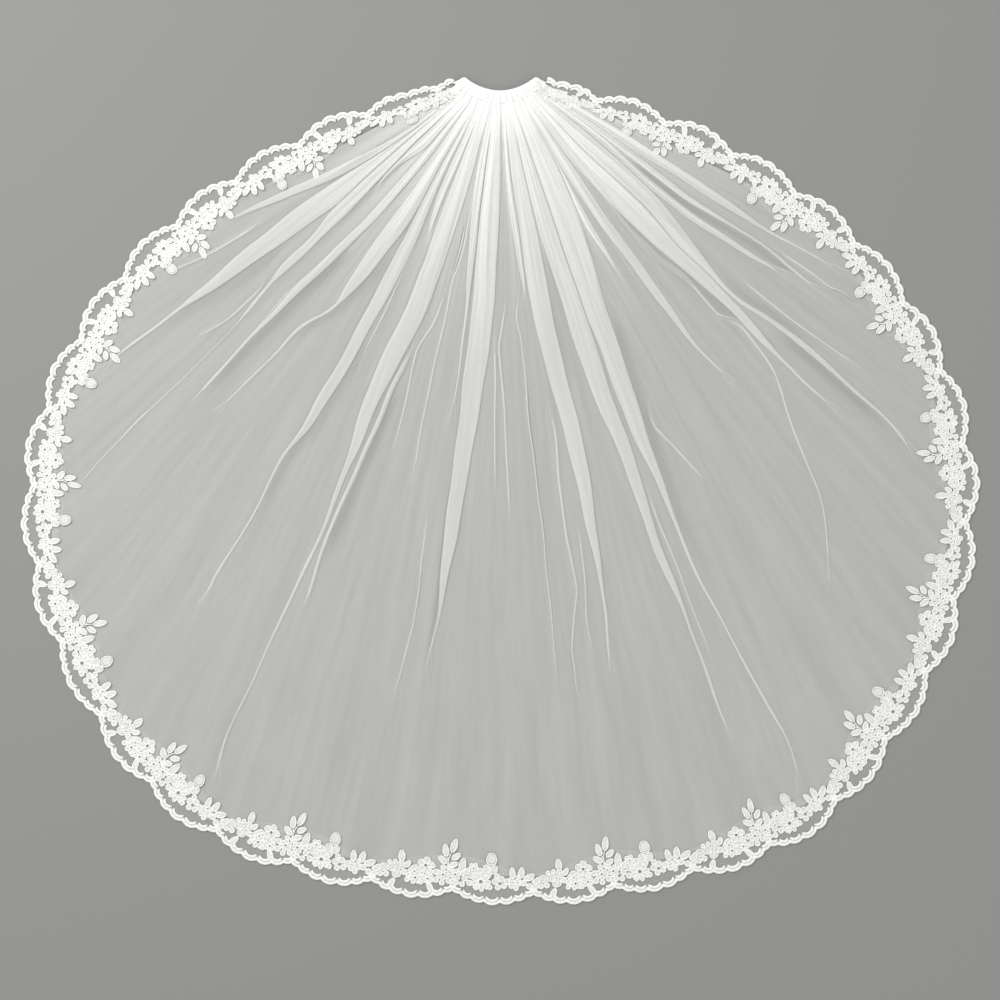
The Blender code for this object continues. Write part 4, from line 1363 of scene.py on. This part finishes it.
def trimmed_copies(tree, given, distance):
    """Copies one repeat apart, without the small shapes whose middle falls past the lace's ends."""
    number = partial(math_node, tree)
    step = node(tree, "ShaderNodeCombineXYZ", {"X": number("MULTIPLY", given["Repeat"], -1.0)})
    row = node(tree, "GeometryNodeMeshLine", {"Count": given["Copies"], "Offset": step.outputs[0]})
    copies = node(tree, "GeometryNodeInstanceOnPoints", {
        "Points": row.outputs["Mesh"], "Instance": given["Strip"]})
    real = node(tree, "GeometryNodeRealizeInstances", {"Geometry": copies.outputs["Instances"]})
    island = node(tree, "GeometryNodeInputMeshIsland").outputs["Island Index"]
    totals = []
    for value in (distance, 1.0):
        total = node(tree, "GeometryNodeAccumulateField", {"Value": value, "Group ID": island},
                     data_type="FLOAT", domain="POINT")
        totals.append(total.outputs["Total"])
    middle = number("DIVIDE", totals[0], totals[1])
    runs_on = number("MULTIPLY", given["Lead in"], RUNS_ON)
    before = number("LESS_THAN", middle, number("MULTIPLY", runs_on, -1.0))
    beyond = number("GREATER_THAN", middle, number("ADD", given["Lace length"], runs_on))
    trimmed = node(tree, "GeometryNodeDeleteGeometry", {
        "Geometry": real.outputs["Geometry"], "Selection": number("MAXIMUM", before, beyond),
    }, domain="POINT")
    return trimmed.outputs["Geometry"]


print("trimming: shapes up to", round(1000 * RUNS_ON * LEAD_IN, 1), "mm past the ends are kept")

# %% How far in or out a point goes
PRESS_START = -0.010                # along from the lace's end, where it is pressed in the most
PRESS_FULL, PRESS_NONE = -0.010, 0.002      # in from the line: pressed in full, and not at all


def reach_from_line(tree, given, parts, distance):
    """Inside the line the lace narrows towards its ends. Outside, its scallops are pressed in."""
    number = partial(math_node, tree)
    to_end = number("MINIMUM", distance, number("SUBTRACT", given["Lace length"], distance))
    drawn = remap(tree, to_end, 0.0, given["Drawn in over"], given["Drawn in to"], 1.0)
    narrowed = remap(
        tree, to_end, given["Drawn in over"], given["Narrowed over"], given["Narrowed to"], 1.0)
    drawn = number("MULTIPLY", drawn, narrowed)
    inner_reach = number("MULTIPLY", number("MAXIMUM", parts["Y"], 0.0), drawn)
    pressed = remap(tree, to_end, PRESS_START, given["Pressed over"], given["Pressed in"], 0.0)
    outside = remap(tree, parts["Y"], PRESS_FULL, PRESS_NONE, 1.0, 0.0)
    turn = number("DIVIDE", number("MULTIPLY", parts["X"], 2.0 * math.pi), given["Scallop pitch"])
    bulge = number("MULTIPLY", number("SUBTRACT", 1.0, number("COSINE", turn)), 0.5)
    shift = number("MULTIPLY", number("MULTIPLY", pressed, outside), bulge)
    outer_reach = number("ADD", number("MINIMUM", parts["Y"], 0.0), shift)
    return number("ADD", inner_reach, outer_reach)


print("scallops: pressed in outside the line, in full from", -PRESS_FULL / MM, "mm out")

# %% The tree that lays a strip along the hem
LIFT_FROM, LIFT_BY = 0.009, 0.021           # in from the line, where the lace climbs onto the net
LEAST_LIFT, MOST_LIFT = 0.0003, 0.0013      # off the table, and over the net's edge


def hem_tree():
    """A strip drawn flat and straight, repeated, trimmed and laid along the sewn line."""
    tree = bpy.data.node_groups.new("lay_along_hem", "GeometryNodeTree")
    face = tree.interface
    face.new_socket("Strip", in_out="INPUT", socket_type="NodeSocketGeometry")
    face.new_socket("Sewn line", in_out="INPUT", socket_type="NodeSocketObject")
    face.new_socket("Copies", in_out="INPUT", socket_type="NodeSocketInt")
    for name in (
        "Repeat", "First sprig", "Lace length", "Length scale", "Lead in",
        "Drawn in to", "Drawn in over", "Narrowed to", "Narrowed over",
        "Pressed in", "Pressed over", "Scallop pitch",
    ):
        face.new_socket(name, in_out="INPUT", socket_type="NodeSocketFloat")
    face.new_socket("Thread", in_out="INPUT", socket_type="NodeSocketMaterial")
    face.new_socket("Lace", in_out="OUTPUT", socket_type="NodeSocketGeometry")
    given = node(tree, "NodeGroupInput").outputs

    number = partial(math_node, tree)
    at = node(tree, "GeometryNodeInputPosition")
    parts = node(tree, "ShaderNodeSeparateXYZ", {"Vector": at.outputs[0]}).outputs
    on_strip = number("SUBTRACT", given["First sprig"], parts["X"])
    distance = eased(tree, on_strip, given["Lace length"])
    line = node(tree, "GeometryNodeObjectInfo", {"Object": given["Sewn line"]},
                transform_space="ORIGINAL")
    true_distance = number("MULTIPLY", distance, given["Length scale"])
    sample = node(tree, "GeometryNodeSampleCurve", {
        "Curves": line.outputs["Geometry"], "Length": number("ADD", true_distance, given["Lead in"]),
    }, mode="LENGTH", use_all_curves=True).outputs
    inward = vector_node(tree, "CROSS_PRODUCT", sample["Tangent"], (0.0, 0.0, 1.0))
    reach = node(tree, "ShaderNodeVectorMath", {
        "Scale": reach_from_line(tree, given, parts, distance)}, operation="SCALE")
    feed(tree, reach.inputs[0], inward)
    lift = remap(tree, parts["Y"], LIFT_FROM, LIFT_BY, LEAST_LIFT, MOST_LIFT)
    height = node(tree, "ShaderNodeCombineXYZ", {"Z": number("ADD", parts["Z"], lift)})
    flat = vector_node(tree, "ADD", sample["Position"], reach.outputs["Vector"])
    moved = node(tree, "GeometryNodeSetPosition", {
        "Geometry": trimmed_copies(tree, given, distance),
        "Position": vector_node(tree, "ADD", flat, height.outputs[0])})

    ready = node(tree, "GeometryNodeRealizeInstances", {"Geometry": moved.outputs["Geometry"]})
    coloured = node(tree, "GeometryNodeSetMaterial", {
        "Geometry": ready.outputs["Geometry"], "Material": given["Thread"]})
    node(tree, "NodeGroupOutput", {"Lace": coloured.outputs["Geometry"]})
    return tree


lay_along_hem = hem_tree()
print("tree: lay_along_hem has", len(lay_along_hem.nodes), "nodes")


# %% From a tree to a plain mesh
def baked(name, strip, group, **values):
    """The strip with the tree applied, as a plain mesh object at the origin."""
    carrier = finished(name + "_strip", strip)
    modifier = carrier.modifiers.new("lay", "NODES")
    modifier.node_group = group
    for item in group.interface.items_tree:
        if item.item_type == "SOCKET" and item.in_out == "INPUT" and item.name in values:
            modifier[item.identifier] = values[item.name]
    graph = bpy.context.evaluated_depsgraph_get()
    mesh = bpy.data.meshes.new_from_object(carrier.evaluated_get(graph))
    mesh.name = name
    bpy.data.objects.remove(carrier)
    print(name + ":", sum(len(face.vertices) - 2 for face in mesh.polygons), "triangles")
    return finished(name, mesh)


# %% [markdown]
# ## The look of lace thread
#
# Cord and satin stitch are the same soft white cotton and viscose, so one finish serves both
# with the thread at a different slant. Bands along the cloth coordinates stand for the turns of
# the cord and the rows of stitches: a bump, and painted shade that darkens the colour in the
# grooves between them, fine enough to read as a sheen and not as stripes, and a slow change of
# tone keeps one flower from looking exactly like the next.

# %% Lace thread material
# Painted shade: the thread's colour is darkened to this share in the grooves between two turns.
PAINTED_GROOVE_SHADE = 0.86         # of the thread's colour, deep between two turns


def thread_material(name, colour, twist, band, depth):
    """Soft thread: bands this wide along the cloth, turned by a twist, with painted shade in their
    grooves and a slow change of tone.
    """
    material, tree, shader = new_shader(name)
    cloth = node(tree, "ShaderNodeUVMap", uv_map="cloth").outputs["UV"]
    slanted = node(tree, "ShaderNodeMapping", {
        "Vector": cloth, "Rotation": (0.0, 0.0, math.radians(twist))})
    rows = node(tree, "ShaderNodeTexWave", {
        "Vector": slanted.outputs["Vector"], "Scale": 1.0 / band / 20.0,
        "Distortion": 0.6, "Detail": 1.0,
    }, wave_type="BANDS", bands_direction="Y").outputs["Fac"]
    bump = node(tree, "ShaderNodeBump", {"Height": rows, "Strength": 0.6, "Distance": depth})
    object_at = node(tree, "ShaderNodeTexCoord").outputs["Object"]
    tone = node(tree, "ShaderNodeTexNoise", {"Vector": object_at, "Scale": 60.0}).outputs["Fac"]
    # Painted shade: a darker colour in the grooves, mixed with a slow random tone.
    painted_shade_in_grooves = remap(tree, rows, 0.0, 0.6, 0.35, 1.0)
    share = math_node(tree, "MULTIPLY", painted_shade_in_grooves, remap(tree, tone, 0.3, 0.7, 0.7, 1.0))
    painted_groove_colour = tuple(PAINTED_GROOVE_SHADE * c for c in colour)
    mixed = node(tree, "ShaderNodeMix", {
        "Factor": share, "A": (*painted_groove_colour, 1.0), "B": (*colour, 1.0)}, data_type="RGBA")
    feed_all(tree, shader, {
        "Normal": bump.outputs["Normal"], "Base Color": mixed.outputs["Result"],
        "Roughness": 0.55, "Specular IOR Level": 0.35, "Sheen Weight": 0.25,
    })
    return material


LACE_WHITE = (0.94, 0.935, 0.91)
PAD_WHITE = (0.76, 0.755, 0.735)
cord_thread = thread_material("corded_thread", LACE_WHITE, 35.0, 0.0007, 0.0002)
satin_thread = thread_material("satin_stitch", PAD_WHITE, 90.0, 0.0005, 0.00015)
print("materials: corded_thread, satin_stitch")

# %% Lay the lace
CORNER_DRAW = 0.63          # the lace is eased in to this share of its depth at the heading
CORNER_DRAW_LENGTH = 0.30
SIDE_DRAW = 0.87            # and stays a little narrower down both sides
SIDE_DRAW_LENGTH = 1.0
PRESSED_IN = 0.0090         # the outer scallops are pressed in by this much at the heading
PRESSED_LENGTH = 0.095
first_sprig = FIRST_VALLEY + SCALLOP_PITCH
copies = int(math.ceil((LACE_LENGTH - first_sprig + REPEAT) / REPEAT)) + 1
lay = {
    "Sewn line": sewn_line, "Copies": copies, "Repeat": REPEAT, "First sprig": first_sprig,
    "Lace length": LACE_LENGTH, "Length scale": LENGTH_SCALE,
    "Drawn in to": CORNER_DRAW, "Drawn in over": CORNER_DRAW_LENGTH, "Lead in": LEAD_IN,
    "Narrowed to": SIDE_DRAW, "Narrowed over": SIDE_DRAW_LENGTH,
    "Pressed in": PRESSED_IN, "Pressed over": PRESSED_LENGTH, "Scallop pitch": SCALLOP_PITCH,
}
lace_work = [
    baked(name, work.mesh(name + "_strip"), lay_along_hem, Thread=thread, **lay)
    for name, work, thread in (
        ("lace_cord", cord_work, cord_thread), ("leaf_outlines", leaf_cords, cord_thread),
        ("leaf_fill", leaf_pads, satin_thread), ("flower_outlines", flower_cords, cord_thread),
        ("flower_fill", flower_pads, satin_thread),
    )
]

# %% [markdown]
# ### The net that carries the lace
#
# All the motifs are worked on a strip of fine net. It reaches from the double cord to a little
# past the leaves, cut close round the sprigs, so it is a sheet of its own with a wavy inner edge.

# %% The lace's own net
LACE_NET_IN = 0.0280        # how far in its wavy inner edge lies, on the whole
LACE_NET_WAVE = 0.0084      # and how much further it reaches at the tall sprigs
STRIP_STEP = 0.0035
STRIP_ROWS = 9


def lace_inner(distance):
    """How far in the lace's net reaches: further at the tall sprigs."""
    repeats = (distance - FIRST_VALLEY) / REPEAT - 0.5
    return LACE_NET_IN + LACE_NET_WAVE * np.cos(2.0 * math.pi * repeats)


strip_at = np.arange(-0.8 * LEAD_IN, LACE_LENGTH + 0.8 * LEAD_IN, STRIP_STEP)
across = (first_sprig - strip_at) % REPEAT
outer = np.interp(across, cord_middle[:, 0], cord_middle[:, 1])
inner = lace_inner(strip_at)
strip_share = np.linspace(0.0, 1.0, STRIP_ROWS)
strip_y = outer[:, None] + (inner - outer)[:, None] * strip_share[None, :]
strip_x = np.repeat((first_sprig - strip_at)[:, None], STRIP_ROWS, axis=1)
strip_mesh = sheet_mesh(
    "lace_net_strip", strip_x[::-1], strip_y[::-1], np.full_like(strip_x, 0.0001),
    strip_x[::-1] + 0.0003, strip_y[::-1])
print("lace net strip:", len(strip_mesh.polygons), "faces")
lace_net_look = net_material("lace_ground_net", 0.04, 0.20, gathered=False)
lace_net = baked("lace_net", strip_mesh, lay_along_hem, Thread=lace_net_look, **dict(lay, Copies=1))

# %% [markdown]
# ## The heading
#
# At the top the net is gathered tight and bound with a narrow folded strip, curved like the
# comb beneath it. It is swept round the hollow of the heading with the same folded section as
# its solid, softly puckered by the gathers inside, and held by a row of running stitches.

# %% How high the strip stands
STRIP_LOW = COMB_THICKNESS + GAP
STRIP_HIGH = STRIP_LOW + 2 * (BINDING_WALL + GAP) + NET_WALL + GATHER_THICKNESS


def from_pole(share, reach):
    """x and y of a share of the heading's width and a distance from the pole."""
    angle = math.radians(share * CORNER_DEG)
    return FAN_POLE[0] + reach * math.sin(angle), FAN_POLE[1] - reach * math.cos(angle)


def strip_top(share, out):
    """Height of the strip's upper side: full at the heading, pressed onto the gathers below."""
    edge = heading_radius(share) + BINDING_DEPTH
    degrees = np.array(share * CORNER_DEG)
    degrees = np.clip(degrees / spread_at(degrees, edge), -SIDE_LEFT, SIDE_RIGHT)
    on_gathers = float(gather_top(degrees, edge)) + 0.0002
    pucker = 0.0011 * float(ridges(degrees, edge) - 0.5)
    full = STRIP_HIGH - 0.0004 + pucker * float(ease(out, 0.0, 0.005))
    return full + (on_gathers - full) * float(ease(out, 0.003, BINDING_DEPTH))


print("strip: stands", round(1000 * strip_top(0.0, 0.0), 1), "mm high at the hollow edge")

# %% Sweep the strip round the heading
BINDING_STATIONS = 181
BINDING_REACH = 0.0012 + BINDING_WALL           # out past the hollow edge


def binding_mesh():
    """The strip's folded section, swept round; each point is (out from the edge, height)."""
    inside_low, inside_high = STRIP_LOW + BINDING_WALL, STRIP_HIGH - BINDING_WALL
    under = (
        (BINDING_DEPTH, STRIP_LOW), (BINDING_DEPTH, inside_low), (0.006, inside_low),
        (-0.0008, inside_low + 0.0004), (-0.0008, inside_high - 0.0008), (0.004, inside_high - 0.0006),
    )
    tops = (BINDING_DEPTH, 0.0115, 0.0095, 0.0070, 0.0045, 0.0015)
    rim = (
        (-BINDING_REACH + 0.0011, STRIP_HIGH - 0.0007), (-BINDING_REACH + 0.0003, STRIP_HIGH - 0.0015),
        (-BINDING_REACH, (STRIP_LOW + STRIP_HIGH) / 2), (-BINDING_REACH + 0.0003, STRIP_LOW + 0.0012),
        (-BINDING_REACH + 0.0012, STRIP_LOW + 0.0003), (0.004, STRIP_LOW),
    )
    shares = np.linspace(-0.985, 0.985, BINDING_STATIONS)
    middle_height = STRIP_LOW + 0.0012
    points, cloth = [], []
    for share in shares:
        start = heading_radius(share)
        along = start * math.radians(share * CORNER_DEG)
        wave = 0.0010 * float(ridges(np.array(share * CORNER_DEG), start) - 0.5)
        tip = 1.0 - 0.45 * ease(abs(share), 0.88, 0.975)
        sewn_shut = float(ease(abs(share), 0.955, 0.978))
        edge_inside = (BINDING_DEPTH - 0.0004, strip_top(share, BINDING_DEPTH) - 0.9 * BINDING_WALL)
        hollow = [(out, z + sewn_shut * (middle_height - z)) for out, z in (*under[1:], edge_inside)]
        profile = (under[0], *hollow, *((out, strip_top(share, out)) for out in tops), *rim)
        for out, z in profile:
            reach = start + out + wave * ease(out, 0.008, BINDING_DEPTH)
            height = STRIP_LOW + (z - STRIP_LOW) * tip
            points.append((*from_pole(share, reach), height))
            cloth.append((along, out + (0.03 if z > STRIP_LOW + 0.003 else 0.0)))
    n = len(profile)
    faces = []
    for k in range(len(shares) - 1):
        for j in range(n):
            a, b = k * n + j, k * n + (j + 1) % n
            c, d = (k + 1) * n + (j + 1) % n, (k + 1) * n + j
            faces.append((a, b, c, d))
    faces.append(tuple(range(n - 1, -1, -1)))
    faces.append(tuple(range((len(shares) - 1) * n, len(shares) * n)))
    return cloth_mesh("heading_strip", points, faces, cloth)


SATIN_WHITE = (0.96, 0.96, 0.945)
heading_strip = finished("heading_strip", binding_mesh())
heading_strip.data.materials.append(
    thread_material("heading_satin", SATIN_WHITE, 90.0, 0.0009, 0.00008))
print("heading strip:", len(heading_strip.data.polygons), "faces")

# %% [markdown]
# The stitches are small lengths of thread. Geometry Nodes walk along a curve that lies on the
# strip, set a stitch down at each step, and turn it to follow the curve.


# %% The running stitches
def stitch_tree():
    """Small lengths of thread, set down along a line and turned to follow it."""
    tree = bpy.data.node_groups.new("stitch_along", "GeometryNodeTree")
    face = tree.interface
    face.new_socket("Line", in_out="INPUT", socket_type="NodeSocketGeometry")
    for name, kind in (
        ("Spacing", "NodeSocketFloat"), ("Length", "NodeSocketFloat"),
        ("Width", "NodeSocketFloat"), ("Thread", "NodeSocketMaterial"),
    ):
        face.new_socket(name, in_out="INPUT", socket_type=kind)
    face.new_socket("Stitches", in_out="OUTPUT", socket_type="NodeSocketGeometry")
    given = node(tree, "NodeGroupInput").outputs
    line = node(tree, "GeometryNodeMeshToCurve", {"Mesh": given["Line"]})
    walk = node(tree, "GeometryNodeCurveToPoints", {
        "Curve": line.outputs["Curve"], "Length": given["Spacing"]}, mode="LENGTH")
    thread = node(tree, "GeometryNodeMeshUVSphere", {"Segments": 8, "Rings": 6, "Radius": 0.5})
    size = node(tree, "ShaderNodeCombineXYZ", {
        "X": given["Width"], "Y": given["Width"], "Z": given["Length"]})
    turn = node(tree, "FunctionNodeAlignEulerToVector", {"Vector": walk.outputs["Tangent"]}, axis="Z")
    set_down = node(tree, "GeometryNodeInstanceOnPoints", {
        "Points": walk.outputs["Points"], "Instance": thread.outputs["Mesh"],
        "Rotation": turn.outputs["Rotation"], "Scale": size.outputs[0]})
    real = node(tree, "GeometryNodeRealizeInstances", {"Geometry": set_down.outputs["Instances"]})
    coloured = node(tree, "GeometryNodeSetMaterial", {
        "Geometry": real.outputs["Geometry"], "Material": given["Thread"]})
    node(tree, "NodeGroupOutput", {"Stitches": coloured.outputs["Geometry"]})
    return tree


stitch_along = stitch_tree()
print("tree: stitch_along has", len(stitch_along.nodes), "nodes")

# %% Stitch the strip down
STITCH_IN = 0.0098          # from the heading's edge
STITCH_SPACING, STITCH_LENGTH, STITCH_WIDTH = 0.0036, 0.0022, 0.0006
stitch_points = []
for share in np.linspace(-0.93, 0.93, 240):
    reach = heading_radius(share) + STITCH_IN
    stitch_points.append((*from_pole(share, reach), strip_top(share, STITCH_IN) + 0.0001))
stitch_mesh = bpy.data.meshes.new("stitch_line")
stitch_mesh.from_pydata(stitch_points, [(k, k + 1) for k in range(len(stitch_points) - 1)], [])
STITCH_WHITE = (0.90, 0.90, 0.88)
stitch_thread = plain_material("stitch_thread", STITCH_WHITE, 0.6)
heading_stitches = baked(
    "heading_stitches", stitch_mesh, stitch_along, Spacing=STITCH_SPACING, Length=STITCH_LENGTH,
    Width=STITCH_WIDTH, Thread=stitch_thread)

# %% [markdown]
# ## The pieces together
#
# The comb keeps its solid's own shape and only gets a look: smooth plastic that is a little
# clear. The other pieces ride on the veil's one body. Each of the three sheets takes the place
# of its solid, and says how large the cloth was that it is made of.

# %% Finish each piece
COMB_WHITE = (0.86, 0.86, 0.84)
comb = bpy.data.objects["comb"]
comb_look, comb_tree, comb_shader = new_shader("clear_comb_plastic")
feed_all(comb_tree, comb_shader, {
    "Base Color": (*COMB_WHITE, 1.0), "Roughness": 0.22, "IOR": 1.49, "Transmission Weight": 0.35})
for slot in comb.material_slots:
    slot.material = comb_look

bpy.data.objects.remove(sewn_line)
for piece, slot in (
    (veil_net, "net"), (lace_net, "lace"), *((work, "lace") for work in lace_work),
    (heading_strip, "binding"), (heading_stitches, "binding"),
):
    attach(piece, "root")
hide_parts("tulle_panel")
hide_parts("lace_trim")
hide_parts("heading_binding")
for sheet in (veil_net, lace_net, heading_strip):
    print(sheet.name + ":", round(mesh_area(sheet.data), 5), "square metres")
